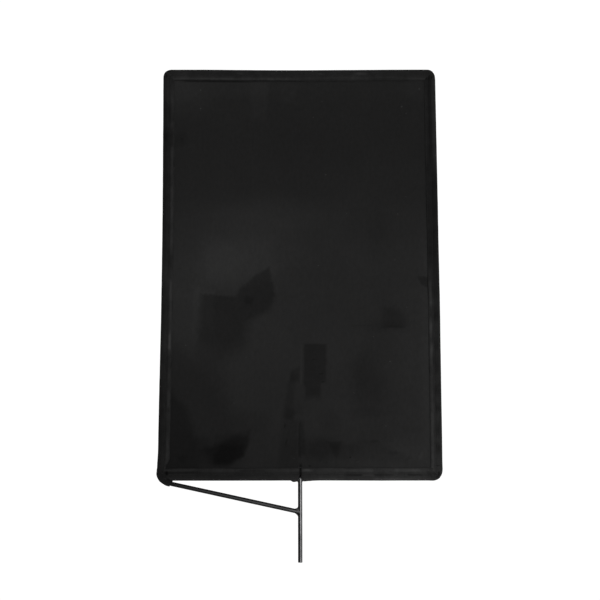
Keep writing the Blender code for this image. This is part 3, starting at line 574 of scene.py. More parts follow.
def paint_material(name, scuffs_and_highlight=True):
    """Satin black paint on drawn rod: orange peel, dust, rubbed places where the steel shows through, and on the brace
    a painted highlight along its middle.
    """
    n = Nodes(name)
    peel = n.noise(620.0, 2.0, 0.5)
    haze = n.noise(38.0, 3.0, 0.6)
    streak = n.noise(150.0, 3.0, 0.6, n.mapping(n.co, rot=(0, -BRACE_A, 0), scale=(0.16, 1.0, 1.0)))
    nick = n.noise(210.0, 4.0, 0.7)
    rub = n.math("MULTIPLY", n.remap(streak, 0.56, 0.70), n.remap(haze, 0.42, 0.60)) if scuffs_and_highlight else n.remap(streak, 0.66, 0.78)
    chip = n.remap(nick, 0.715, 0.745)
    base = n.math("MULTIPLY_ADD", haze, 0.003, 0.0008)
    base = n.math("MULTIPLY_ADD", rub, 0.012, base)
    if scuffs_and_highlight:      # painted highlight: lighter paint colour along the middle of both faces, where the light glints, more towards the pin
        xyz = n.separate(n.co)
        off = n.math("ABSOLUTE", n.math("MULTIPLY", n.math("SUBTRACT", xyz[2], n.math("MULTIPLY_ADD", xyz[0], BRACE_SLOPE, BRACE_Z0)), BRACE_DX))
        line = n.math("MULTIPLY", n.remap(off, 0.0027, 0.0004), n.remap(xyz[0], -0.285, -0.245, 0.15, 1.0))
        line = n.math("MULTIPLY", line, n.math("MULTIPLY", n.math("ADD", n.remap(xyz[0], -0.28, -0.03, 0.42, 1.25), n.remap(xyz[0], -0.030, -0.018, 0.0, 0.9)), n.math("MULTIPLY_ADD", streak, 1.2, 0.4)))
        base = n.math("MULTIPLY_ADD", line, 0.058, base)
    bare = n.math("MULTIPLY", chip, 0.8)
    n.set(Base_Color=n.grey(n.mix(bare, base, 0.23), (1, 1, 1.02)))
    n.set(Metallic=bare)
    n.set(Roughness=n.math("ADD", n.math("MULTIPLY_ADD", haze, 0.14, 0.12), n.math("MULTIPLY", rub, 0.14)))
    n.set(Specular_IOR_Level=0.08)
    n.set(Normal=n.bump(n.math("SUBTRACT", n.math("ADD", n.math("MULTIPLY", peel, 0.6), n.math("MULTIPLY", haze, 1.0)), n.math("MULTIPLY", chip, 1.0)), 0.35, 0.00012))
    return n.mat


def steel_material():
    """The pin: bare drawn steel gone dull, with draw lines along it and bright rings where grip heads clamp it."""
    n = Nodes("drawn_steel")
    along = n.noise(900.0, 3.0, 0.6, n.mapping(n.co, scale=(1.0, 1.0, 0.02)))
    tarnish = n.noise(46.0, 4.0, 0.62, n.mapping(n.co, scale=(1.0, 1.0, 0.6)))
    ring = n.noise(420.0, 3.0, 0.7, n.mapping(n.co, scale=(0.05, 0.05, 1.0)))
    z = n.separate(n.co)[2]
    clamped = n.math("MULTIPLY", n.remap(z, 0.010, 0.026), n.remap(z, 0.092, 0.070))
    scuff = n.math("MULTIPLY", n.remap(ring, 0.54, 0.68), n.remap(clamped, 0.0, 1.0, 0.25, 1.0))
    spots = n.remap(n.noise(330.0, 3.0, 0.6), 0.63, 0.72)
    base = n.math("MULTIPLY_ADD", n.remap(tarnish, 0.30, 0.70), 0.105, 0.105)
    base = n.math("MULTIPLY_ADD", n.math("SUBTRACT", along, 0.5), 0.10, base)
    base = n.math("MULTIPLY_ADD", scuff, 0.12, base)
    base = n.math("MULTIPLY", base, n.math("MULTIPLY_ADD", spots, -0.35, 1.0))
    n.set(Base_Color=n.grey(base, (1, 1, 1.015)), Metallic=1.0)
    rough = n.math("MULTIPLY_ADD", n.remap(tarnish, 0.3, 0.7), -0.05, 0.22)
    n.set(Roughness=n.math("MULTIPLY_ADD", scuff, -0.08, rough))
    height = n.math("ADD", n.math("MULTIPLY", along, 0.5), n.math("ADD", n.math("MULTIPLY", ring, 0.5), n.math("MULTIPLY", spots, -0.5)))
    n.set(Normal=n.bump(height, 0.35, 0.00010))
    return n.mat


def weld_material(name="weld_bead"):
    n = Nodes(name)
    haze = n.noise(90.0, 3.0, 0.6)
    grit = n.noise(700.0, 3.0, 0.7)
    bare = n.remap(n.noise(160.0, 3.0, 0.6), 0.50, 0.62)
    base = n.mix(bare, n.math("MULTIPLY_ADD", haze, 0.02, 0.018), n.math("MULTIPLY_ADD", haze, 0.10, 0.10))
    # darker in the corner under the brace; the lighter band along the brace's middle line is a painted highlight
    xyz = n.separate(n.co)
    off = n.math("SUBTRACT", xyz[2], n.math("MULTIPLY_ADD", xyz[0], BRACE_SLOPE, BRACE_Z0))
    under, wear_and_painted_highlight = n.remap(off, -0.0012, -0.0034), n.remap(n.math("ABSOLUTE", n.math("SUBTRACT", off, 0.0006)), 0.0028, 0.0010)
    base = n.mix(under, n.math("MULTIPLY_ADD", wear_and_painted_highlight, 0.10, base), 0.008)
    n.set(Base_Color=n.grey(base, (1.02, 1, 1)), Metallic=n.mix(under, n.math("MULTIPLY", bare, 0.85), 0.9))
    n.set(Roughness=n.math("MULTIPLY_ADD", grit, 0.25, 0.30), Specular_IOR_Level=0.5)
    n.set(Normal=n.bump(n.math("ADD", grit, n.math("MULTIPLY", haze, 1.5)), 0.4, 0.00015))
    return n.mat


M_PANEL = cloth_material("napped_cloth_front", 0.0265, marks=True, seed=1.3)
M_PANEL_BACK = cloth_material("napped_cloth_back", 0.0225, drift=(0.3, 0.0), seed=4.1)
# tone across each hem by distance in mm from the outer edge; where it changes along the hem, the next curve fades in.
# The curves paint shade into the grooves and under the fold's edge, a highlight on the ridge by the fold over its worn
# nap, and on the bottom hem light from below on the lower edge
HEM_LEFT = [(2, [([(-2, 0.62), (4, 0.64), (12, 0.68), (15, 0.84), (19.5, 1.20), (23, 1.10), (25, 0.98)], None)])]
HEM_RIGHT = [(2, [([(-2, 0.86), (5, 0.86), (10, 1.02), (12, 0.96), (15, 1.0), (19.5, 1.42), (22.5, 1.28), (24.2, 0.88), (25, 0.80)], None),
                  ([(-2, 0.62), (6, 0.62), (10, 0.74), (13, 0.68), (22, 0.66), (25, 0.72)], (0.600, 0.660)),
                  ([(-2, 0.80), (3, 0.98), (7, 1.04), (9.8, 0.92), (11.8, 0.62), (14.2, 0.48), (17, 0.62), (19.5, 0.76), (25, 0.84)], (0.850, 0.900))])]
HEM_TOP = [(0, [([(-2, 0.86), (13, 0.88), (17, 1.08), (20.5, 1.40), (23, 1.25), (24.6, 0.66), (25, 0.60)], None),
                ([(-2, 0.86), (13, 0.92), (17, 1.06), (20, 1.14), (23, 1.0), (25, 0.82)], (-0.05, 0.02))])]
HEM_BOTTOM = [(0, [([(-2, 1.12), (4, 1.08), (8, 0.96), (14, 0.86), (16.6, 0.52), (18.8, 0.95), (21.5, 1.38), (23.5, 1.15), (25, 0.88)], None),
                   ([(-2, 0.98), (6, 0.90), (11, 0.82), (15, 0.84), (20, 0.98), (23, 0.98), (25, 0.84)], (-0.235, -0.205))])]
# lines along the hems: (axis, mm from the outer edge, half width in mm, gain along the axis); the gains paint glints on
# the folds and ridges, shade between pleats, and light and shade along the outer edges
BANDS_LEFT = [(2, 20.0, 4.0, [(0.20, 1.0), (0.235, 1.2), (0.252, 1.35), (0.27, 1.0), (0.31, 0.95), (0.325, 0.85), (0.340, 1.4), (0.352, 1.25), (0.375, 0.9),
                              (0.40, 1.1), (0.43, 0.95), (0.448, 1.05), (0.462, 1.75), (0.483, 1.75), (0.497, 1.1), (0.51, 1.0), (0.527, 1.1), (0.545, 1.3),
                              (0.60, 1.3), (0.617, 0.85), (0.66, 0.85), (0.676, 1.2), (0.75, 1.25), (0.80, 1.15), (0.905, 1.1), (0.918, 0.75), (0.945, 0.75),
                              (0.96, 0.95), (1.02, 1.05), (1.04, 0.84), (1.08, 0.80)]),
              (2, 6.0, 9.0, [(0.24, 1.0), (0.30, 1.0), (0.32, 0.75), (0.335, 1.0), (0.38, 1.06), (0.50, 1.08), (0.53, 1.0), (0.60, 0.97), (0.625, 1.15),
                             (0.645, 1.22), (0.66, 1.0), (0.70, 0.94), (0.90, 0.88), (0.93, 0.70), (0.95, 0.82), (0.965, 1.05), (1.05, 1.1)]),
              (2, -0.5, 2.4, [(0.22, 1.0), (0.28, 0.7), (0.415, 0.7), (0.43, 0.45), (0.46, 0.45), (0.48, 0.7), (0.68, 0.72), (0.72, 0.95), (1.08, 1.0)])]
BANDS_RIGHT = [(2, 19.5, 4.5, [(0.19, 1.0), (0.242, 1.05), (0.30, 1.1), (0.35, 1.0), (0.385, 0.9), (0.415, 1.0), (0.43, 1.3), (0.458, 1.35), (0.472, 0.95),
                               (0.487, 1.25), (0.505, 1.45), (0.517, 1.2), (0.528, 0.8), (0.545, 0.85), (0.56, 1.2), (0.598, 1.2), (0.61, 0.9), (0.64, 0.88),
                               (0.70, 1.0), (1.09, 1.0)]),
               (2, 8.5, 7.5, [(0.19, 1.0), (0.222, 1.15), (0.242, 0.76), (0.2635, 1.18), (0.283, 0.73), (0.3066, 1.18), (0.328, 0.73), (0.345, 1.05),
                              (0.367, 0.82), (0.385, 1.08), (0.415, 0.85), (0.44, 1.08), (0.465, 0.68), (0.49, 1.05), (0.505, 1.12), (0.531, 0.78),
                              (0.555, 1.0), (0.60, 0.92), (0.66, 0.88), (0.78, 0.88), (0.87, 1.0), (1.09, 1.0)])]
BANDS_TOP = [(0, 21.5, 2.6, [(-0.31, 1.0), (-0.27, 1.1), (-0.20, 1.2), (-0.14, 1.1), (0.0, 1.05), (0.06, 0.9), (0.14, 1.0), (0.20, 0.85), (0.25, 1.1), (0.275, 1.25), (0.30, 1.0)])]
BANDS_BOTTOM = [(0, 20.5, 4.0, [(-0.285, 1.0), (-0.225, 1.0), (-0.205, 1.15), (-0.175, 1.2), (-0.133, 1.2), (-0.125, 0.82), (-0.082, 0.80), (-0.07, 1.0),
                                (-0.01, 1.1), (0.006, 1.35), (0.024, 1.3), (0.03, 0.95), (0.09, 1.0), (0.10, 1.3), (0.12, 1.3), (0.127, 1.15), (0.155, 1.2),
                                (0.16, 0.95), (0.20, 1.0), (0.21, 1.2), (0.235, 1.35), (0.255, 1.25), (0.262, 1.0), (0.30, 1.0)]),
                (0, 10.5, 3.6, [(-0.29, 1.0), (0.09, 1.0), (0.104, 0.70), (0.130, 0.70), (0.136, 1.2), (0.155, 1.25), (0.162, 0.8), (0.195, 0.8),
                                (0.205, 1.15), (0.228, 1.15), (0.234, 0.70), (0.258, 0.70), (0.266, 1.0), (0.31, 1.0)]),
                (0, 1.5, 4.5, [(-0.29, 1.0), (0.03, 1.0), (0.045, 1.22), (0.085, 1.22), (0.10, 1.0), (0.155, 1.0), (0.165, 1.32), (0.225, 1.32), (0.24, 1.05), (0.31, 1.0)])]
# spots on the hems: (centre x z, size, angle, gain); the dark ones are painted shadow in tucks, pleats and gaps under
# the folded edges, the pale ones painted highlights
TL_SPOTS = [((-0.2987, 1.0743), (0.0030, 0.0042), 0, -0.60), ((-0.2930, 1.0850), (0.0045, 0.0024), 0, -0.50), ((-0.2660, 1.0770), (0.020, 0.012), 0, 0.22)]
TR_SPOTS = [((0.2854, 1.0687), (0.0018, 0.0036), -12, -0.55), ((0.2913, 1.0699), (0.0016, 0.0036), -12, -0.50), ((0.2978, 1.0711), (0.0018, 0.0044), -15, -0.60)]
BR_SPOTS = [((0.2846, 0.1979), (0.0032, 0.0022), 0, -0.40), ((0.2965, 0.2045), (0.0044, 0.0018), 0, -0.40), ((0.2983, 0.1866), (0.0024, 0.0072), 0, -0.58),
            ((0.2939, 0.1802), (0.0036, 0.0022), 20, -0.45), ((0.2880, 0.1935), (0.0150, 0.0120), 0, 0.20)]
BL_SPOTS = [((-0.2866, 0.1890), (0.0030, 0.0058), 0, -0.80), ((-0.2813, 0.1769), (0.0062, 0.0040), 0, -0.45)]
# gain along each hem by position, painted light and shade: the bottom hem lit more towards the right, the left hem
# darker low down
ALONG_LEFT = [(2, [(0.16, 0.80), (0.30, 0.82), (0.45, 0.95), (0.55, 1.04), (0.70, 0.97), (0.85, 0.90), (1.00, 0.88), (1.055, 1.12), (1.085, 1.22)])]
ALONG_RIGHT = [(2, [(0.17, 1.42), (0.21, 1.25), (0.35, 1.22), (0.45, 1.14), (0.55, 1.06), (0.80, 1.05), (0.95, 1.10), (1.09, 1.02)])]
ALONG_TOP = [(0, [(-0.31, 0.90), (-0.26, 1.0), (0.26, 1.03), (0.31, 1.0)])]
ALONG_BOTTOM = [(0, [(-0.30, 0.60), (-0.20, 0.72), (-0.08, 0.99), (0.08, 1.40), (0.20, 1.78), (0.262, 1.66), (0.288, 1.28), (0.305, 1.12)])]
# the further spot lists below are painted shadow and highlights as well
M_HEM = {
    "left": cloth_material("hem_cloth_left", 0.0246, hem=HEM_LEFT, along=ALONG_LEFT, bands=BANDS_LEFT, seed=7.7,
                           spots=TL_SPOTS + BL_SPOTS + [
                               ((-0.2870, 0.2060), (0.0030, 0.0050), 0, -0.45), ((-0.2789, 1.0003), (0.0022, 0.0080), 0, -0.30),
                               ((-0.2819, 0.9748), (0.0022, 0.0050), 0, -0.35), ((-0.2801, 0.8713), (0.0020, 0.0110), 0, -0.32),
                               ((-0.2771, 0.7554), (0.0018, 0.0120), 0, -0.30), ((-0.2796, 0.4245), (0.0020, 0.0090), 0, -0.40),
                               ((-0.2794, 0.3636), (0.0020, 0.0090), 0, -0.30), ((-0.2914, 0.9310), (0.013, 0.014), 0, -0.16)]),
    "top": cloth_material("hem_cloth_top", 0.0258, hem=HEM_TOP, along=ALONG_TOP, bands=BANDS_TOP, seed=9.2,
                          spots=TL_SPOTS + TR_SPOTS + [
                              ((-0.1343, 1.0803), (0.0080, 0.0028), 0, 0.35), ((0.0486, 1.0793), (0.0130, 0.0020), 0, 0.28),
                              ((0.1387, 1.0802), (0.0160, 0.0032), 0, 0.60), ((-0.1630, 1.0868), (0.020, 0.0018), 0, -0.35),
                              ((0.1545, 1.0868), (0.052, 0.0016), 0, -0.35)]),
    "right": cloth_material("hem_cloth_right", 0.0242, hem=HEM_RIGHT, along=ALONG_RIGHT, bands=BANDS_RIGHT, seed=12.4, spots=TR_SPOTS + BR_SPOTS),
    "bottom": cloth_material("hem_cloth_bottom", 0.0252, hem=HEM_BOTTOM, along=ALONG_BOTTOM, bands=BANDS_BOTTOM, seed=15.8,
                             spots=BL_SPOTS[:1] + BR_SPOTS + [
                                 # the dark stripe here is painted shade in the slit over the pin
                                 ((0.0148, 0.1960), (0.0080, 0.0028), 0, 0.40), ((0.0012, 0.1925), (0.0036, 0.0160), 0, -0.62)]),
}
M_THREAD = thread_material()
M_PAINT = paint_material("satin_black_paint")
M_PAINT_HIDDEN = paint_material("satin_black_paint_covered", scuffs_and_highlight=False)
M_STEEL = steel_material()
M_WELD = weld_material()


# ---------------------------------------------------------------- hem sleeves
def half_section():
    """One half of a sleeve's section, from its cut edge under the fold, round the fold and over the rod.

    Rows of (u, v, kind): u inwards from the rod's centreline, v out from the flag's middle plane."""
    pts = [(8.6, 0.90, "under"), (12.0, 0.90, "under"), (15.2, 0.90, "under"), (17.6, 0.90, "under")]
    for a in (-90, -45, 0, 45, 90):
        pts.append((18.47 + 0.42 * math.cos(math.radians(a)), 1.32 + 0.42 * math.sin(math.radians(a)), "fold"))
    for u, v in ((17.6, 1.70), (16.64, 1.70), (15.7, 1.70), (14.6, 1.70), (13.4, 1.70), (12.1, 1.74), (10.8, 1.84), (9.5, 2.0), (8.4, 2.16), (7.5, 2.24)):
        pts.append((u, v, "top"))
    for u, v in ((6.94, 2.08), (6.5, 2.24), (6.1, 2.52), (5.65, 2.92), (5.15, 3.38), (4.72, 3.74)):
        pts.append((u, v, "slope"))
    for a in (43, 55, 67, 79, 91, 103, 115, 127, 140, 153, 167, 180):
        pts.append((5.95 * math.cos(math.radians(a)), 5.95 * math.sin(math.radians(a)), "tube"))
    return pts


HALF = half_section()
FULL = [(u, v, k, -1) for u, v, k in HALF] + [(u, v, k, 1) for u, v, k in reversed(HALF[:-1])]
FULL_U = np.array([p[0] for p in FULL]) * MM
FULL_V = np.array([p[1] for p in FULL]) * MM
KIND = np.array([p[2] for p in FULL])
FACE = np.array([p[3] for p in FULL], float)
POLAR = np.degrees(np.arctan2(FULL_V, FULL_U))            # 0 towards the panel, 180 at the outer edge
NJ = len(FULL)
IS_TOP = (KIND == "top") | (KIND == "fold")
FRONT_EDGE_SEAM = next(i for i, p in enumerate(FULL) if abs(p[0] - 16.64) < 1e-6)
FRONT_ROD_SEAM = next(i for i, p in enumerate(FULL) if abs(p[0] - 6.94) < 1e-6)
SEAM_U_EDGE, SEAM_U_ROD = SEAM_EDGE - EDGE, SEAM_ROD - EDGE


def side_xz(side, t, u):
    if side == "left":
        return -XC + flare(t) + u, t + 0 * u
    if side == "right":
        return XC - u, t + 0 * u
    if side == "top":
        return t + 0 * u, ZT - u
    return t + 0 * u, ZB + u


class Sleeve:
    """A hem: a strip of cloth folded over a rod, its edges turned under and sewn through the panel.

    stations: rows of (kind, value). 'line' is a point along the side, 'arc' a fraction of half a corner's bend with
    its corner and radius, 'bend' an angle round the lower left bend, 'tail' a distance along the brace."""

    def __init__(self, side, stations, seed, along0=0.0):
        self.side, self.st, self.seed = side, stations, seed
        self.n = len(stations)
        self.along = self._lengths() + along0

    def _lengths(self):
        xz = [self._place(i, np.array([0.0]))[:2] for i in range(self.n)]
        xz = np.array([[float(a[0]), float(b[0])] for a, b in xz])
        d = np.hypot(*np.diff(xz, axis=0).T)
        return np.concatenate([[0.0], np.cumsum(d)])

    def _place(self, i, u, shift=0.0):
        kind, *v = self.st[i]
        u = np.asarray(u, float)
        if kind == "line":
            return side_xz(self.side, v[0] + shift, u)
        if kind == "arc":
            f, corner, sign, radius = v
            tc = corner - sign * radius
            th = math.radians(45.0) * f
            rho = radius - u
            t = np.where(rho > 0, tc + sign * rho * math.sin(th), tc + sign * (-rho) * f)
            uu = np.where(rho > 0, radius - rho * math.cos(th), u)
            return side_xz(self.side, t, uu)
        a = math.radians(v[0])
        r = BEND_BL - u
        x, z = BL_CX + r * math.cos(a), BL_CZ + r * math.sin(a)
        if kind == "tail":
            d = v[1] * (1.0 - 0.80 * smooth((4.0 * MM - u) / (10.0 * MM)))      # cut on a slant, shortest below
            x, z = x + BRACE_DX * d, z + BRACE_DZ * d
        return x, z

    def build(self, shape, shift=None):
        """shape(self, U, V) changes the section's arrays in place; shift gives each column's own end."""
        U = np.repeat(FULL_U[None], self.n, 0).copy()
        V = np.repeat(FULL_V[None], self.n, 0).copy()
        shape(self, U, V)
        Y = V * FACE[None]
        # offset the middle line to both sides for the cloth's two faces
        du, dy = np.gradient(U, axis=1), np.gradient(Y, axis=1)
        ln = np.hypot(du, dy)
        nu, ny = dy / ln, -du / ln
        if (nu[0, NJ // 2] * np.sign(U[0, NJ // 2])) < 0:      # outwards at the outer edge
            nu, ny = -nu, -ny
        self.grids = []
        for s in (1, -1):
            u, y = U + s * nu * SKIN, Y + s * ny * SKIN
            x, z = np.empty_like(u), np.empty_like(u)
            for i in range(self.n):
                sh = 0.0 if shift is None else shift[i]
                x[i], z[i] = self._place(i, u[i], sh)
            x, z = bow(x, z)
            self.grids.append(np.stack([x, y, z], -1))
        self.U = U
        return self

    def object(self, name, material):
        outer, inner = self.grids
        verts, faces = sheet_mesh(outer, inner)
        s = ((self.U + EDGE) / MM)
        along = np.repeat(self.along[:, None], NJ, 1)
        return to_object(name, verts, faces, 58.0, {"hem_s": np.concatenate([s.ravel(), s.ravel()]),
                                                    "hem_t": np.concatenate([along.ravel(), along.ravel()])}, [material])

    def row(self, column):
        """The outer surface along one column, and its outward direction, for the stitches."""
        g = self.grids[0]
        p = g[:, column]
        across = g[:, column + 1] - g[:, column - 1]
        tangent = np.gradient(p, axis=0)
        nrm = np.cross(tangent, across)
        nrm /= np.linalg.norm(nrm, axis=1)[:, None]
        nrm[np.sign(nrm[:, 1]) != FACE[column]] *= -1
        return p, nrm


def hem_shape(ridge, wobble=1.0, corners=(), narrow=None, centre=13.3, width=3.5, extra=None):
    """Builds the relief of a hem. ridge(along fraction arrays) is the height of the puffed band, in mm."""
    def shape(s, U, V):
        n1, n2, n3, n4 = (Noise(s.seed + k) for k in range(4))
        a = s.along[:, None]
        face = FACE[None]
        off = np.where(face < 0, 0.0, 31.7)
        um = U / MM
        top = IS_TOP[None]
        under = (KIND == "under")[None]
        # puffed band between the two rows of stitches
        R = ridge(s)[:, None] * (1.0 + 0.45 * n1(a / 0.040 + off, 3.0) + 0.38 * n1(a / 0.014 + off, 9.0))
        c = (centre(s)[:, None] if callable(centre) else centre) + 1.2 * n2(a / 0.055 + off, 2.0)
        band = bell(um, c, width) * smooth((um - 6.94) / 2.2) * smooth((18.3 - um) / 1.6)
        V += np.where(top, R * band * MM, 0.0)
        # slanting drag lines across the band
        drag = np.sin(2 * np.pi * (a / 0.0185 + um / 26.0 + 1.1 * n3(a / 0.05 + off, 5.0)))
        V += np.where(top, 0.17 * MM * drag * bell(um, 12.0, 3.6) * (0.5 + 0.5 * n3(a / 0.07 + off, 1.0)) * np.minimum(R, 1.0), 0.0)
        # stitch rows pull the cloth down, most at each hole
        hole = 0.5 - 0.5 * np.cos(2 * np.pi * a / STITCH)
        V -= np.where(top, bell(um, 16.64, 0.75) * (0.10 + 0.14 * hole) * MM, 0.0)
        V -= np.where((KIND == "slope")[None], bell(um, 6.94, 0.5) * (0.02 + 0.16 * hole) * MM, 0.0)
        # the folded edge wanders a little
        fw = smooth((um - 12.0) / 6.0)
        U += (0.45 * n4(a / 0.06, 4.0) + 0.22 * n4(a / 0.017, 8.0)) * MM * fw
        # the cloth over the rod isn't quite round
        tube = (KIND == "tube")[None] | (KIND == "slope")[None]
        k = wobble * smooth((POLAR[None] - 25.0) / 40.0)
        grow = 1.0 + k * (0.030 * n2(a / 0.09, POLAR[None] * face / 50.0) + 0.014 * n2(a / 0.02 + 50, POLAR[None] * face / 24.0))
        U[:] = np.where(tube, U * grow, U)
        V[:] = np.where(tube, V * grow, V)
        if extra is not None:
            extra(s, U, V)
        V[:] = np.where(under, np.maximum(V, 0.84 * MM), V)
        if narrow is not None:
            kf = narrow(s)[:, None]
            flap = (KIND == "top")[None] | (KIND == "fold")[None] | under
            U[:] = np.where(flap, SEAM_U_ROD + (U - SEAM_U_ROD) * kf, U)
    return shape


def line_run(a, b):
    n = max(2, int(round(abs(b - a) / STEP)))
    return [("line", a + (b - a) * i / n) for i in range(n + 1)]


def arc_run(corner, sign, radius, opening=True):
    n = max(5, int(round((radius + 5.95 * MM) * math.pi / 4 / STEP)))
    run = [("arc", i / n, corner, sign, radius) for i in range(n + 1)]
    return run if opening else run[::-1]


def near(s, sign, corner, radius):
    """Distance along the sleeve from its mitre, in metres: 0 at the mitre."""
    end = s.along[-1] if sign > 0 else s.along[0]
    return np.abs(s.along - end)


def pleats(where, amount, count, phase, spread=(1.0, 10.0)):
    """Small radial folds in the cloth on the inner side of a corner's bend. where: 0 first end, -1 last end."""
    def extra(s, U, V):
        f = np.zeros(s.n)
        for i, st in enumerate(s.st):
            if st[0] == "arc" and ((where == 0) == (i < s.n // 2)):
                f[i] = 1.0 - abs(st[1] - 0.5) * 0.0
            elif st[0] == "line":
                d = abs(s.along[i] - (s.along[0] if where == 0 else s.along[-1]))
                f[i] = 1.0 - smooth((d - 0.016) / 0.012)
        d = np.abs(s.along - (s.along[0] if where == 0 else s.along[-1]))
        um = U / MM
        wave = np.cos(2 * np.pi * (d / (0.024 / count)) + phase)[:, None]
        win = smooth((um + 3.0) / 4.0) * smooth((spread[1] - um) / 4.0)
        V += amount * MM * wave * f[:, None] * win
    return extra


def creases(lines):
    """Narrow tucks across the cloth on the rod. lines: (coordinate, half width mm, depth mm, polar from, polar to, face)."""
    def extra(s, U, V):
        c = coord(s)
        tube = ((KIND == "tube") | (KIND == "slope"))[None]
        for at, w, depth, p0, p1, face in lines:
            k = bell(c, at, w * MM)[:, None] * (smooth((POLAR - p0) / 14.0) * smooth((p1 - POLAR) / 14.0) * (FACE == face))[None]
            shoulder = (0.35 * bell(c, at - 2.1 * w * MM, w * MM) + 0.35 * bell(c, at + 2.1 * w * MM, w * MM))[:, None] * (smooth((POLAR - p0) / 14.0) * smooth((p1 - POLAR) / 14.0) * (FACE == face))[None]
            g = 1.0 + (shoulder - k) * depth / 5.95
            U[:] = np.where(tube, U * g, U)
            V[:] = np.where(tube, V * g, V)
    return extra


def both(*fs):
    def extra(s, U, V):
        for f in fs:
            f(s, U, V)
    return extra


def swell(fn):
    """The tube's radius grows by fn(s, polar) mm."""
    def extra(s, U, V):
        tube = ((KIND == "tube") | (KIND == "slope"))[None]
        g = 1.0 + fn(s, POLAR[None]) / 5.95
        U[:] = np.where(tube, U * g, U)
        V[:] = np.where(tube, V * g, V)
    return extra


def coord(s):
    """Where each station lies along its side: z on the uprights, x on the rails."""
    out = np.zeros(s.n)
    for i in range(s.n):
        x, z = s._place(i, np.array([0.0]))
        out[i] = float(z[0]) if s.side in ("left", "right") else float(x[0])
    return out


# left: from its mitre at the top down to the lower left bend, round it and on to the brace
BEND_ANGLES = np.linspace(180.0, 270.0 + math.degrees(BRACE_A), 24)
left_st = arc_run(ZT, 1, BEND_TL, opening=False) + line_run(ZT - BEND_TL, BL_CZ)[1:]
left_st += [("bend", a) for a in BEND_ANGLES[1:]]
left_st += [("tail", BEND_ANGLES[-1], d * MM) for d in (1.3, 2.6, 3.9, 5.2)]


def left_ridge(s):
    z = coord(s)
    r = 0.35 + 0.75 * smooth((1.045 - z) / 0.03)
    r *= 1.0 + 0.15 * smooth((0.5 - z) / 0.2)
    bend = np.array([st[0] != "line" and st[0] != "arc" for st in s.st])
    return np.where(bend, 0.15, r * smooth((z - 0.190) / 0.030))


def left_narrow(s):
    z = coord(s)
    k = np.interp(z, [0.19495, 0.2020, 0.2090, 0.2145, 0.2200, 0.2290, 0.2380], [0.40, 0.52, 0.72, 0.95, 1.08, 1.05, 1.0])
    for i, st in enumerate(s.st):
        if st[0] == "bend":
            k[i] = np.interp(st[1], [180, 190, 197, 206, 216, 230, 258], [0.40, 0.33, 0.27, 0.17, 0.10, 0.07, 0.06])
        elif st[0] == "tail":
            k[i] = 0.06
        elif st[0] == "arc":
            k[i] = 1.0
    return k


def over_the_rail(s, U, V):
    """Near the lower left bend the sleeve passes over the bottom rail's hem, on both faces."""
    for i, st in enumerate(s.st):
        if st[0] == "line" and st[1] > 0.215:
            continue
        if st[0] == "arc":
            continue
        x, z = s._place(i, SEAM_U_ROD + (U[i] - SEAM_U_ROD) * np.where(IS_TOP | (KIND == "under"), LEFT_K[i], 1.0))
        rail = np.sqrt(np.maximum((6.75 * MM) ** 2 - (z - ZB) ** 2, 0.0))
        hem = 2.35 * MM * smooth((0.2012 - z) / (2.0 * MM)) * smooth((z - 0.170) / (4 * MM))
        h = np.maximum(rail, hem) * smooth((x + 0.2985) / (4 * MM))
        under = KIND == "under"
        lifted = soft_max(V[i], h + np.where(under, 0.0, 0.80 * MM) * (IS_TOP | under), 0.5 * MM)
        gate = smooth(h / (1.2 * MM))
        V[i] = V[i] * (1 - gate) + lifted * gate


def left_swell(s, polar):
    """Pulled tight above the bend, then rucked up round it, and flared where it ends on the brace."""
    z = coord(s)
    g = np.interp(z, [0.186, 0.1895, 0.1935, 0.1975, 0.2050, 0.2130, 0.2200, 0.2280], [1.3, 1.1, -0.1, -0.75, -0.85, -0.70, -0.30, 0.0])
    for i, st in enumerate(s.st):
        if st[0] == "bend":
            g[i] = np.interp(st[1], [180, 183, 187, 192, 197, 204, 211, 218, 226, 236, 248, 258], [-0.55, -0.2, 0.7, 1.5, 1.8, 1.9, 1.85, 1.8, 1.3, 0.7, 0.55, 0.45])
        elif st[0] == "tail":
            g[i] = 0.45 + 0.10 * st[2] / MM
        elif st[0] == "arc":
            g[i] = 0.30 + 1.0 * st[1] ** 1.5
        elif st[1] > 0.245:
            g[i] = 0.28 * smooth((st[1] - 0.245) / 0.03)
    n = Noise(s.seed + 11)
    low = smooth((0.222 - z) / 0.02)
    folds = 0.50 * n(s.along / 0.0062, 1.0) + 0.30 * n(s.along / 0.0031, 4.0)
    across = n(s.along[:, None] / 0.008, polar / 34.0 + 60.0)
    outward = smooth((polar - 60.0) / 60.0)
    return (g[:, None] * outward) + (folds[:, None] * (0.35 + 0.35 * outward) + 0.45 * across) * low[:, None]


sleeve_left = Sleeve("left", left_st, 100)
LEFT_K = left_narrow(sleeve_left)
sleeve_left.build(hem_shape(left_ridge, 1.0, narrow=lambda s: LEFT_K,
                            extra=both(pleats(0, 0.30, 2, 0.6), swell(left_swell), over_the_rail)))

# top: mitre to mitre
top_st = arc_run(-XC, -1, BEND_TL, opening=False) + line_run(-XC + BEND_TL, XC - BEND_TR)[1:-1] + arc_run(XC, 1, BEND_TR)


def wider(s, k):
    """A flap a little wider than the nominal hem, but for its mitred ends."""
    d = np.minimum(s.along - s.along[0], s.along[-1] - s.along)
    return 1.0 + (k - 1.0) * smooth((d - 0.020) / 0.030)


def top_ridge(s):
    x = coord(s)
    r = 0.30 + 0.70 * smooth((x + 0.285) / 0.025)
    r -= 0.45 * smooth((x - 0.235) / 0.01) * 0.6
    return r * (0.85 + 0.15 * np.cos(x * 9.0))


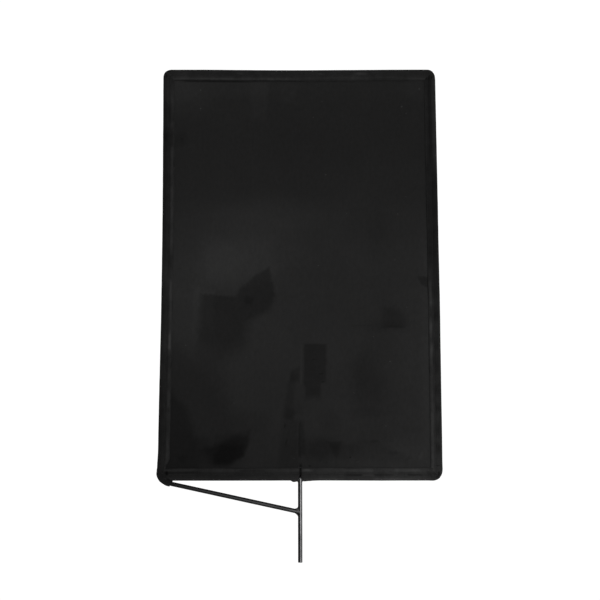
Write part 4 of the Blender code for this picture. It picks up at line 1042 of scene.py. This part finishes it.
def top_swell(s, polar):
    """A full corner on the left; the rest lies close on the rod."""
    g = np.array([1.25 * st[1] ** 1.5 if st[0] == "arc" and st[2] < 0 else 0.0 for st in s.st])
    return g[:, None] * smooth((polar - 60.0) / 60.0)


sleeve_top = Sleeve("top", top_st, 200)
sleeve_top.build(hem_shape(top_ridge, 0.8, narrow=lambda s: wider(s, 1.07), extra=both(pleats(0, 0.25, 2, 0.6), pleats(-1, 0.35, 3.2, 0.3), swell(top_swell),
                                                      creases([(0.2715, 1.0, 0.75, 52, 120, -1), (0.2775, 0.9, 0.65, 46, 112, -1), (0.2852, 1.0, 0.75, 40, 128, -1),
                                                               (0.279, 1.0, 0.6, 50, 120, 1)]))))

# right: mitre at the top to mitre at the bottom
right_st = arc_run(ZT, 1, BEND_TR, opening=False) + line_run(ZT - BEND_TR, ZB + BEND_BR)[1:-1] + arc_run(ZB, -1, BEND_BR)


def right_ridge(s):
    z = coord(s)
    return 0.45 + 0.75 * smooth((0.66 - z) / 0.08)


def right_swell(s, polar):
    z = coord(s)
    outward = smooth((polar - 60.0) / 60.0)
    g = 0.15 + 0.45 * smooth((0.66 - z) / 0.10) - 0.7 * smooth((z - 1.064) / 0.012)
    low = smooth((0.215 - z) / 0.03)
    n = Noise(s.seed + 11)
    folds = (0.30 * n(s.along / 0.007, 2.0) + 0.15 * n(s.along / 0.0035, 6.0)) * low
    return (g + 0.25 * low + folds)[:, None] * outward


sleeve_right = Sleeve("right", right_st, 300)
sleeve_right.build(hem_shape(right_ridge, 1.1, extra=both(pleats(0, 0.30, 3.2, 0.3), pleats(-1, 0.24, 3.0, 1.1), swell(right_swell),
                                                          creases([(0.2030, 1.0, 0.75, 50, 125, -1), (0.1885, 1.6, 0.85, 45, 130, -1), (0.193, 1.1, 0.6, 50, 120, 1)]))))

# bottom, right of the pin: mitre to the notch; and left of the pin: notch to under the left sleeve
NOTCH_RUN = 26 * MM
bottom_right_st = arc_run(XC, 1, BEND_BR, opening=False) + line_run(XC - BEND_BR, 0.0)[1:]
bottom_left_st = line_run(0.0, -0.2915)


def notch_end(sign):
    """How far from the pin's axis each column of the bottom hem ends, in metres."""
    deep = np.interp(POLAR, [0, 20, 60, 95, 120, 145, 180], [0.9, 1.1, 1.6, 2.4, 3.6, 5.3, 6.6 if sign < 0 else 8.6])
    slit = np.where(FULL_U > 17 * MM, 0.5, 0.0)
    return (deep - slit) * MM


def notch_shift(s, sign):
    end = notch_end(sign)
    t = np.array([st[1] if st[0] == "line" else 9.0 for st in s.st])
    near_pin = np.clip(1 - np.abs(t) / NOTCH_RUN, 0, 1)
    return sign * near_pin[:, None] * end[None]


def notch_swell(sign):
    """The hem's loose ends hang down beside the pin: a short ear on the left, a long shallow slope on the right."""
    def fn(s, polar):
        x = coord(s)
        t = np.abs(x)
        down = smooth((polar - 70.0) / 90.0)
        n = Noise(s.seed + 17)
        if sign < 0:
            drop = 3.0 * smooth((0.0195 - t) / 0.0085) - 0.5 * smooth((0.007 - t) / 0.004)
        else:
            drop = 1.9 * np.clip((0.042 - t) / 0.036, 0, 1) ** 1.4
        ruck = 0.30 * n(t / 0.0055, 3.0) * smooth((0.034 - t) / 0.02)
        front = 0.9 * smooth((0.024 - t) / 0.014)
        low = 0.35 + (0.45 * smooth((x - 0.03) / 0.15) if sign > 0 else 0.0)
        far = smooth((x - 0.268) / 0.03) * 0.55 if sign > 0 else 0.0
        return drop[:, None] * down + front[:, None] * (1 - down) + ruck[:, None] * (0.3 + 0.7 * down) + ((low + far) * np.ones(s.n))[:, None] * down
    return fn


def bottom_ridge(sign):
    def ridge(s):
        x = coord(s)
        r = np.full(s.n, 0.80)
        if sign < 0:
            r = r * smooth((x + 0.2885) / 0.012)
        else:
            r = r * (1.0 - 0.35 * smooth((x - 0.27) / 0.02))
        return r * (0.55 + 0.45 * smooth(np.abs(x) / 0.012))
    return ridge


sleeve_bottom_right = Sleeve("bottom", bottom_right_st, 400)
sleeve_bottom_right.build(hem_shape(bottom_ridge(1), 1.0, narrow=lambda s: 1.0 + 0.08 * smooth((s.along - 0.020) / 0.030), extra=both(pleats(0, 0.26, 3.0, 1.1), swell(notch_swell(1)))),
                          notch_shift(sleeve_bottom_right, 1))
sleeve_bottom_left = Sleeve("bottom", bottom_left_st, 500)
sleeve_bottom_left.build(hem_shape(bottom_ridge(-1), 0.8, narrow=lambda s: 1.0 + 0.08 * smooth((s.along[-1] - s.along) / 0.030),
                                   centre=lambda s: 13.3 + 2.0 * smooth((-0.215 - coord(s)) / 0.02),
                                   extra=swell(notch_swell(-1))),
                         notch_shift(sleeve_bottom_left, -1))

SLEEVES = {
    "hem_left": (sleeve_left, "left", "sleeve_left"),
    "hem_top": (sleeve_top, "top", "sleeve_top"),
    "hem_right": (sleeve_right, "right", "sleeve_right"),
    "hem_bottom_right": (sleeve_bottom_right, "bottom", "sleeve_bottom_right"),
    "hem_bottom_left": (sleeve_bottom_left, "bottom", "sleeve_bottom_left"),
}
for name, (s, tone, node) in SLEEVES.items():
    ob = s.object(name, M_HEM[tone])
    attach(ob, "root")
    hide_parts(node)


# ---------------------------------------------------------------- cloth panel
def build_panel():
    x1 = XC + EDGE - PANEL_INSET
    z0, z1 = ZB - EDGE + PANEL_INSET, ZT + EDGE - PANEL_INSET
    nx, nz = 156, 236
    x = np.linspace(-x1, x1, nx + 1)[:, None] * np.ones((1, nz + 1))
    z = np.ones((nx + 1, 1)) * np.linspace(z0, z1, nz + 1)[None]
    # rounded cut at the corners, where the frame's bends are
    nick = 9.0 * MM
    for sx in (-1, 1):
        for zc, sz in ((z0, -1), (z1, 1)):
            dx, dz = np.maximum(sx * x - (x1 - nick), 0), np.maximum(sz * (z - zc) + nick, 0)
            d = np.hypot(dx, dz)
            k = np.where(d > nick, nick / np.maximum(d, 1e-9), 1.0)
            x = np.where(k < 1, sx * (x1 - nick + dx * k), x)
            z = np.where(k < 1, zc - sz * nick + sz * dz * k, z)
    z = z - 2.9 * MM * smooth((0.013 - np.abs(x)) / 0.006) * smooth((z0 + 0.012 - z) / 0.012)      # down to the rail at the slit
    # relief: taut cloth, slack by fractions of a millimetre, pulled at the corners and along the seams
    n1, n2, n3 = Noise(601), Noise(602), Noise(603)
    dl, dr = x + x1 - 11.6 * MM, x1 - x - 11.6 * MM
    db, dt = z - z0 - 11.6 * MM, z1 - z - 11.6 * MM
    d = np.minimum(np.minimum(dl, dr), np.minimum(db, dt))
    free = smooth(d / (14 * MM))
    y = 0.85 * MM * n1(x / 0.17, z / 0.21) + 0.40 * MM * n2(x / 0.065, z / 0.085) + 0.14 * MM * n3(x / 0.024, z / 0.03)
    for cx, cz, sx, sz in ((-x1, z0, 1, 1), (x1, z0, -1, 1), (-x1, z1, 1, -1), (x1, z1, -1, -1)):
        rx, rz = sx * (x - cx), sz * (z - cz)
        ang, rad = np.arctan2(rz, rx), np.hypot(rx, rz)
        y += 0.55 * MM * np.sin(ang * 13.0 + cx * 9) * np.exp(-((ang - math.pi / 4) / 0.42) ** 2) * np.exp(-rad / 0.16)
    for dist, t, ph in ((dl, z, 0.0), (dr, z, 2.0), (db, x, 4.0), (dt, x, 6.0)):
        period = 0.021 + 0.0 * t
        y += 0.16 * MM * np.sin(2 * np.pi * (t / period + 0.8 * n1(t / 0.07, ph))) * np.exp(-np.maximum(dist, 0) / 0.016) * (0.6 + 0.4 * n2(t / 0.05, ph + 3))
    # a vertical fold kept from when the flag was packed away, by the slit
    y += 0.35 * MM * bell(x, 0.002 + 0.02 * (z - 0.26), 0.0035) * smooth((0.31 - z) / 0.03)
    y *= free
    X, Z = bow(x, z)
    front = np.stack([X, y - CLOTH_T / 2, Z], -1)
    back = np.stack([X, y + CLOTH_T / 2, Z], -1)
    verts, faces = sheet_mesh(front, back)
    part = np.zeros(len(faces), int)
    ng = nx * nz
    part[ng:2 * ng] = 1
    return to_object("cloth_panel", verts, faces, 60.0, None, [M_PANEL, M_PANEL_BACK], part), (2 * x1, z1 - z0)


panel, panel_flat = build_panel()
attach(panel, "root")
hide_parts("fabric_panel")


# ---------------------------------------------------------------- stitches
def stitch_mesh(rows, radius=0.24 * MM, length=2.7 * MM, seed=0, spacing=STITCH, slant=0.10 * MM, lift=0.06 * MM):
    """Every stitch of some sewn rows: short waxed threads that dive into the cloth at both ends.

    rows: (points, normals) along the cloth, first and last part left bare by (start, end) in metres."""
    rng = np.random.RandomState(seed)
    rings, sides = 7, 6
    all_v, all_q, all_t, base = [], [], [], 0
    prof = np.array([0.45, 0.85, 1.0, 1.0, 1.0, 0.85, 0.45])
    for pts, nrm, start, end in rows:
        seg = np.linalg.norm(np.diff(pts, axis=0), axis=1)
        al = np.concatenate([[0], np.cumsum(seg)])
        count = int((al[-1] - start - end) / spacing)
        for k in range(count):
            c = start + (k + 0.5) * spacing
            q = c + np.linspace(-0.5, 0.5, rings) * length * (1 + 0.05 * rng.uniform(-1, 1))
            p = np.stack([np.interp(q, al, pts[:, j]) for j in range(3)], -1)
            m = np.stack([np.interp(q, al, nrm[:, j]) for j in range(3)], -1)
            m /= np.linalg.norm(m, axis=1)[:, None]
            t = np.gradient(p, axis=0)
            t /= np.linalg.norm(t, axis=1)[:, None]
            b = np.cross(t, m)
            w = np.linspace(-1, 1, rings)
            rise = lift + radius * 0.75 - (np.abs(w) ** 3) * (radius * 1.9)
            p = p + m * rise[:, None] + b * (w * slant + 0.04 * MM * rng.uniform(-1, 1))[:, None]
            a = np.arange(sides) * 2 * math.pi / sides + rng.uniform(0, 1)
            r = radius * prof
            ring = p[:, None] + r[:, None, None] * (m[:, None] * np.cos(a)[None, :, None] + b[:, None] * np.sin(a)[None, :, None])
            all_v.append(ring.reshape(-1, 3))
            all_v.append(np.stack([p[0] - t[0] * radius * 0.4, p[-1] + t[-1] * radius * 0.4]))
            idx = base + np.arange(rings * sides).reshape(rings, sides)
            wrap = np.concatenate([idx, idx[:, :1]], 1)
            all_q.append(quads(wrap))
            tip0, tip1 = base + rings * sides, base + rings * sides + 1
            nx0, nx1 = np.roll(idx[0], -1), np.roll(idx[-1], -1)
            all_t.append(np.stack([idx[0], nx0, np.full(sides, tip0)], -1))
            all_t.append(np.stack([nx1, idx[-1], np.full(sides, tip1)], -1))
            base += rings * sides + 2
    return np.concatenate(all_v), np.concatenate(all_q), np.concatenate(all_t)


BACK_EDGE_SEAM, BACK_ROD_SEAM = NJ - 1 - FRONT_EDGE_SEAM, NJ - 1 - FRONT_ROD_SEAM
SEAM_STOPS = {      # metres left without stitches at the first and last station, edge row and rod row
    "hem_left": ((0.013, 0.030), (0.013, 0.012)),
    "hem_top": ((0.013, 0.013), (0.013, 0.013)),
    "hem_right": ((0.013, 0.014), (0.013, 0.014)),
    "hem_bottom_right": ((0.014, 0.004), (0.014, 0.006)),
    "hem_bottom_left": ((0.004, 0.008), (0.006, 0.008)),
}
for k, (name, (s, tone, node)) in enumerate(SLEEVES.items()):
    for label, cols, stops in (("edge", (FRONT_EDGE_SEAM, BACK_EDGE_SEAM), SEAM_STOPS[name][0]),
                               ("rod", (FRONT_ROD_SEAM, BACK_ROD_SEAM), SEAM_STOPS[name][1])):
        rows = []
        for c in cols:
            p, m = s.row(c)
            rows.append((p, m, *stops))
        v, q, t = stitch_mesh(rows, seed=700 + k * 2 + (label == "rod"))
        place = name[4:]
        ob = mixed_object(f"stitches_{label}_{place}", v, q, t, 60.0)
        ob.data.materials.append(M_THREAD)
        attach(ob, "root")
        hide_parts(f"seam_{label}_{place}")


def bar_tack():
    """Close zigzag stitches across the top of the slit over the pin."""
    v, q, t, base = [], [], [], 0
    for face in (-1, 1):
        n = 17
        xs = np.linspace(-4.4, 4.4, n) * MM
        pts = []
        for i, x in enumerate(xs):
            pts.append((x, face * (CLOTH_T / 2 + 0.33 * MM), ZB - EDGE + HEM + (3.15 if i % 2 else 1.25) * MM))
        pts = np.array(pts)
        fine = []
        for a, b in zip(pts, pts[1:]):
            for f in np.linspace(0, 1, 6)[:-1]:
                p = a + (b - a) * f
                p = p.copy()
                p[1] += face * 0.16 * MM * math.sin(math.pi * f)
                fine.append(p)
        fine.append(pts[-1])
        vv, qq, tt = tube_mesh(np.array(fine), 0.21 * MM, 6)
        v.append(vv); q.append(qq + base); t.append(tt + base)
        base += len(vv)
    return np.concatenate(v), np.concatenate(q), np.concatenate(t)


v, q, t = bar_tack()
tack = mixed_object("slit_tack", v, q, t, 60.0)
tack.data.materials.append(M_THREAD)
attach(tack, "root")
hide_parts("slit_bar_tack")


# ---------------------------------------------------------------- brace, pin and their welds
def bar_object(name, path, radius, sides, material, node, up=(0, 1, 0)):
    v, q, t = tube_mesh(path, radius, sides, up)
    ob = mixed_object(name, v, q, t, 38.0)
    ob.data.materials.append(material)
    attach(ob, "root")
    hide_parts(node)
    return ob


def straight(a, b, step):
    n = max(2, int(np.linalg.norm(np.subtract(b, a)) / step))
    return np.array([np.add(a, np.subtract(b, a) * i / n) for i in range(n + 1)])


# brace: from the flush weld inside the left sleeve to the pin, drawn rod with faint handling dents
x_start = BL_CX - BEND_BL * -BRACE_DZ + (0.8 + 1.9) * MM * BRACE_DX
x_start = BL_CX + BEND_BL * BRACE_DZ + (0.8 + 1.9) * MM * BRACE_DX
brace_path = straight((x_start, 0, BRACE_Z0 + BRACE_SLOPE * x_start), (-2.6 * MM, 0, BRACE_Z0 - BRACE_SLOPE * 2.6 * MM), 2.0 * MM)
nb = Noise(801)
ang = np.arange(40) * 2 * math.pi / 40
dent = nb(np.arange(len(brace_path))[:, None] / 6.0, (ang[None] / 1.3)) * 0.035 * MM - 0.035 * MM
bar_object("brace_bar", brace_path, ROD_R + dent, 40, M_PAINT, "brace_rod")

# pin: chamfered flat end, faint rings where grip heads have bitten it
heights = np.concatenate([[0.0, 0.25, 0.55, 0.85, 1.3, 2.0], np.arange(3.0, 172.0, 1.0), [172.0, 175.0, 178.0]]) * MM
pin_r = np.full(len(heights), ROD_R)
pin_r[:5] = [3.95 * MM, 4.22 * MM, 4.50 * MM, 4.70 * MM, ROD_R]
npn = Noise(802)
bite = 0.030 * MM * (npn(heights[:, None] / 0.0021, 0.0) - 0.2) * (smooth((heights - 0.018) / 0.01) * smooth((0.080 - heights) / 0.01))[:, None]
ang = np.arange(48) * 2 * math.pi / 48
pin_rr = pin_r[:, None] + np.minimum(bite * (0.7 + 0.3 * np.cos(ang * 2 + 1))[None], 0.0)
pin_path = np.stack([np.zeros(len(heights)), np.zeros(len(heights)), heights], -1)
bar_object("pin_bar", pin_path, pin_rr, 48, M_STEEL, "mounting_pin")


def weld_bead(name, centre, branch, main, reach, hold, node, seed):
    """A fillet weld round the joint of two bars of equal radius.

    branch points from the joint out along the joined bar, main is the other bar's axis. reach(phi) and hold(phi) are
    the weld's leg on the joined bar and on the main one."""
    c, b, m = (np.asarray(k, float) for k in (centre, branch, main))
    b, m = b / np.linalg.norm(b), m / np.linalg.norm(m)
    yv = np.array([0.0, 1.0, 0.0])
    nv = np.cross(yv, b)
    nz = Noise(seed)
    N, K = 120, 12
    rows = []
    for i in range(N):
        phi = 2 * math.pi * i / N
        e = nv * math.cos(phi) + yv * math.sin(phi)
        off = e * ROD_R
        # where this line of the joined bar meets the main bar's surface
        bp, op = b - m * b.dot(m), off - m * off.dot(m)
        A, B, C = bp.dot(bp), 2 * bp.dot(op), op.dot(op) - ROD_R ** 2
        root = (-B + math.sqrt(max(B * B - 4 * A * C, 0.0))) / (2 * A)
        corner = c + off + b * root
        lead = abs(math.cos(phi)) ** 1.3
        legb, legm = reach(lead), hold(lead)
        wob = 1 + 0.10 * nz(i / 7.0)
        toe_b = corner + b * legb * wob - e * 0.06 * MM
        # toe on the main bar: go along its axis, away from the joined bar, and stay on its surface
        along = m * np.sign(e.dot(m)) if abs(e.dot(m)) > 1e-6 else m * 0
        p = corner + along * legm * wob * abs(e.dot(m))
        side = p - c - m * (p - c).dot(m)
        side = side + np.cross(m, side) * 0
        turn = yv * math.sin(phi) * legm * 0.25
        side = side + turn
        side = side / np.linalg.norm(side) * (ROD_R - 0.06 * MM)
        toe_m = c + m * (p - c).dot(m) + side
        out = (toe_b - corner) + (toe_m - corner)
        mid = corner + out * 0.16
        ts = np.linspace(0, 1, K)
        curve = [(1 - t) ** 2 * toe_b + 2 * t * (1 - t) * mid + t * t * toe_m for t in ts]
        nrm = e + b * 0.7 * lead + along * 0.2
        nrm = nrm / np.linalg.norm(nrm)
        ripple = np.array([0.16 * MM * math.sin(phi * 34 + 2.6 * math.cos((t - 0.5) * 3.0) + 1.5 * float(nz(i / 9.0, 5))) * math.sin(math.pi * t) for t in ts])
        crown = np.array([0.35 * MM * math.sin(math.pi * t) for t in ts])
        curve = [p + nrm * (rp + cr) for p, rp, cr in zip(curve, ripple, crown)]
        inside = corner - e * 1.1 * MM - b * 0.3 * MM
        rows.append(curve + [inside])
    g = np.array(rows)
    idx = np.arange(N * (K + 1)).reshape(N, K + 1)
    wrap = np.concatenate([idx, idx[:1]], 0)
    wrap = np.concatenate([wrap, wrap[:, :1]], 1)
    ob = to_object(name, g.reshape(-1, 3), quads(wrap), 60.0, None, [M_WELD])
    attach(ob, "root")
    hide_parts(node)
    return ob


weld_bead("weld_brace_to_pin", (0, 0, BRACE_Z0), (-BRACE_DX, 0, -BRACE_DZ), (0, 0, 1),
          lambda k: (1.5 + 5.4 * k) * MM, lambda k: (0.8 + 5.0 * k) * MM, "weld_brace_pin", 811)
weld_bead("weld_pin_to_rail", (0, 0, ZB), (0, 0, -1), (1, 0, 0),
          lambda k: (1.5 + 4.6 * k) * MM, lambda k: (0.8 + 4.6 * k) * MM, "weld_pin_rail", 812)

# rods and flush welds under the cloth keep their CAD shape
for name in ("left_rod", "top_rod", "right_rod", "bottom_rod"):
    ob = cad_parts[name]
    ob.data.materials.clear()
    ob.data.materials.append(M_PAINT_HIDDEN)
for name in ("weld_top_left", "weld_top_right", "weld_bottom_right", "weld_brace_end", "weld_rail_corner"):
    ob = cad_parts[name]
    ob.data.materials.clear()
    ob.data.materials.append(M_WELD)

# ---------------------------------------------------------------- camera, as the photograph was taken
F_PX = 1281.6
cam_data = bpy.data.cameras.new("camera")
cam_data.sensor_fit, cam_data.sensor_width = "HORIZONTAL", 36.0
cam_data.lens = F_PX * 36.0 / 600.0
cam_data.clip_start, cam_data.clip_end = 0.05, 80.0
pitch, yaw, roll = (math.radians(v) for v in (8.571, -0.273, -0.105))
fwd = Vector((-math.sin(yaw) * math.cos(pitch), math.cos(yaw) * math.cos(pitch), math.sin(pitch)))
right = Vector((math.cos(yaw), math.sin(yaw), 0))
up = right.cross(fwd)
r2 = right * math.cos(roll) + up * math.sin(roll)
u2 = -right * math.sin(roll) + up * math.cos(roll)
cam = bpy.data.objects.new("camera", cam_data)
bpy.context.scene.collection.objects.link(cam)
m = Matrix((r2, u2, -fwd)).transposed().to_4x4()
m.translation = Vector((-0.0128, -2.7817, 0.1464))
cam.matrix_world = m
bpy.context.scene.camera = cam

# ---------------------------------------------------------------- plain studio
floor_v, floor_f = [], []
FLOOR_Z, FLOOR_R = -0.42, 2.4
segs = 96
for i in range(segs):
    a = 2 * math.pi * i / segs
    floor_v.append((FLOOR_R * math.cos(a), FLOOR_R * math.sin(a), FLOOR_Z))
fm = bpy.data.meshes.new("studio_floor")
fm.from_pydata(floor_v, [], [list(range(segs))])
floor = bpy.data.objects.new("studio_floor", fm)
bpy.context.scene.collection.objects.link(floor)
fn = Nodes("pale_floor")
soft = fn.noise(3.0, 2.0)
fn.set(Base_Color=fn.grey(fn.math("MULTIPLY_ADD", soft, 0.02, 0.86)), Roughness=fn.math("MULTIPLY_ADD", soft, 0.05, 0.9))
rim = fn.remap(fn.vec("LENGTH", fn.co), 1.0, 2.3)
seen = fn.t.nodes.new("ShaderNodeLightPath").outputs["Is Camera Ray"]
fn.set(Specular_IOR_Level=0.1, Emission_Color=(1, 1, 1, 1), Emission_Strength=fn.math("MULTIPLY_ADD", fn.math("MULTIPLY", rim, seen), 0.9, 0.35))
fm.materials.append(fn.mat)

world = bpy.data.worlds.new("studio")
bpy.context.scene.world = world
world.use_nodes = True
wt = world.node_tree
wt.nodes.clear()
w_out = wt.nodes.new("ShaderNodeOutputWorld")
w_bg = wt.nodes.new("ShaderNodeBackground")
wt.links.new(w_bg.outputs[0], w_out.inputs[0])
w_dir = wt.nodes.new("ShaderNodeTexCoord").outputs["Generated"]


def w_math(op, a, b=None, c=None, clamp=False):
    n = wt.nodes.new("ShaderNodeMath")
    n.operation, n.use_clamp = op, clamp
    for s, v in zip(n.inputs, (a, b, c)):
        if isinstance(v, bpy.types.NodeSocket):
            wt.links.new(v, s)
        elif v is not None:
            s.default_value = v
    return n.outputs[0]


def w_lobe(direction, inner, outer, strength):
    """A broad soft light in one direction; inner and outer are angles in degrees."""
    d = Vector(direction).normalized()
    dot = wt.nodes.new("ShaderNodeVectorMath")
    dot.operation = "DOT_PRODUCT"
    wt.links.new(w_dir, dot.inputs[0])
    dot.inputs[1].default_value = d
    r = wt.nodes.new("ShaderNodeMapRange")
    r.interpolation_type = "SMOOTHSTEP"
    wt.links.new(dot.outputs["Value"], r.inputs[0])
    for s, v in zip(list(r.inputs)[1:5], (math.cos(math.radians(outer)), math.cos(math.radians(inner)), 0.0, strength)):
        s.default_value = v
    return r.outputs[0]


level = w_math("ADD", 0.022, w_lobe((0.38, -1.0, 0.10), 4, 32, 1.45))
level = w_math("ADD", level, w_lobe((1.0, -0.20, 0.05), 12, 55, 0.30))
level = w_math("ADD", level, w_lobe((0.15, -0.45, 1.0), 8, 58, 0.55))
level = w_math("ADD", level, w_lobe((0.75, 0.8, 0.35), 15, 65, 0.7))
level = w_math("ADD", level, w_lobe((-0.5, 0.9, 0.5), 10, 50, 0.5))
path = wt.nodes.new("ShaderNodeLightPath")
pick = wt.nodes.new("ShaderNodeMix")
pick.data_type = "FLOAT"
wt.links.new(path.outputs["Is Camera Ray"], pick.inputs[0])
wt.links.new(level, pick.inputs[2])
pick.inputs[3].default_value = 1.06
w_bg.inputs["Color"].default_value = (1, 1, 1, 1)
wt.links.new(pick.outputs[0], w_bg.inputs["Strength"])

key_data = bpy.data.lights.new("key", "AREA")
key_data.shape, key_data.size, key_data.size_y = "RECTANGLE", 1.6, 2.2
key_data.energy = 22.0
key = bpy.data.objects.new("key", key_data)
key.location = (1.9, -3.6, 1.1)
key.rotation_mode = "QUATERNION"
key.rotation_quaternion = (Vector((0, 0, 0.6)) - Vector(key.location)).to_track_quat("-Z", "Y")
key.visible_camera = False
bpy.context.scene.collection.objects.link(key)

bpy.context.scene.view_settings.view_transform = "Standard"
bpy.context.scene.view_settings.look = "None"
bpy.context.scene.view_settings.exposure = 0.0
bpy.context.scene.view_settings.gamma = 1.0
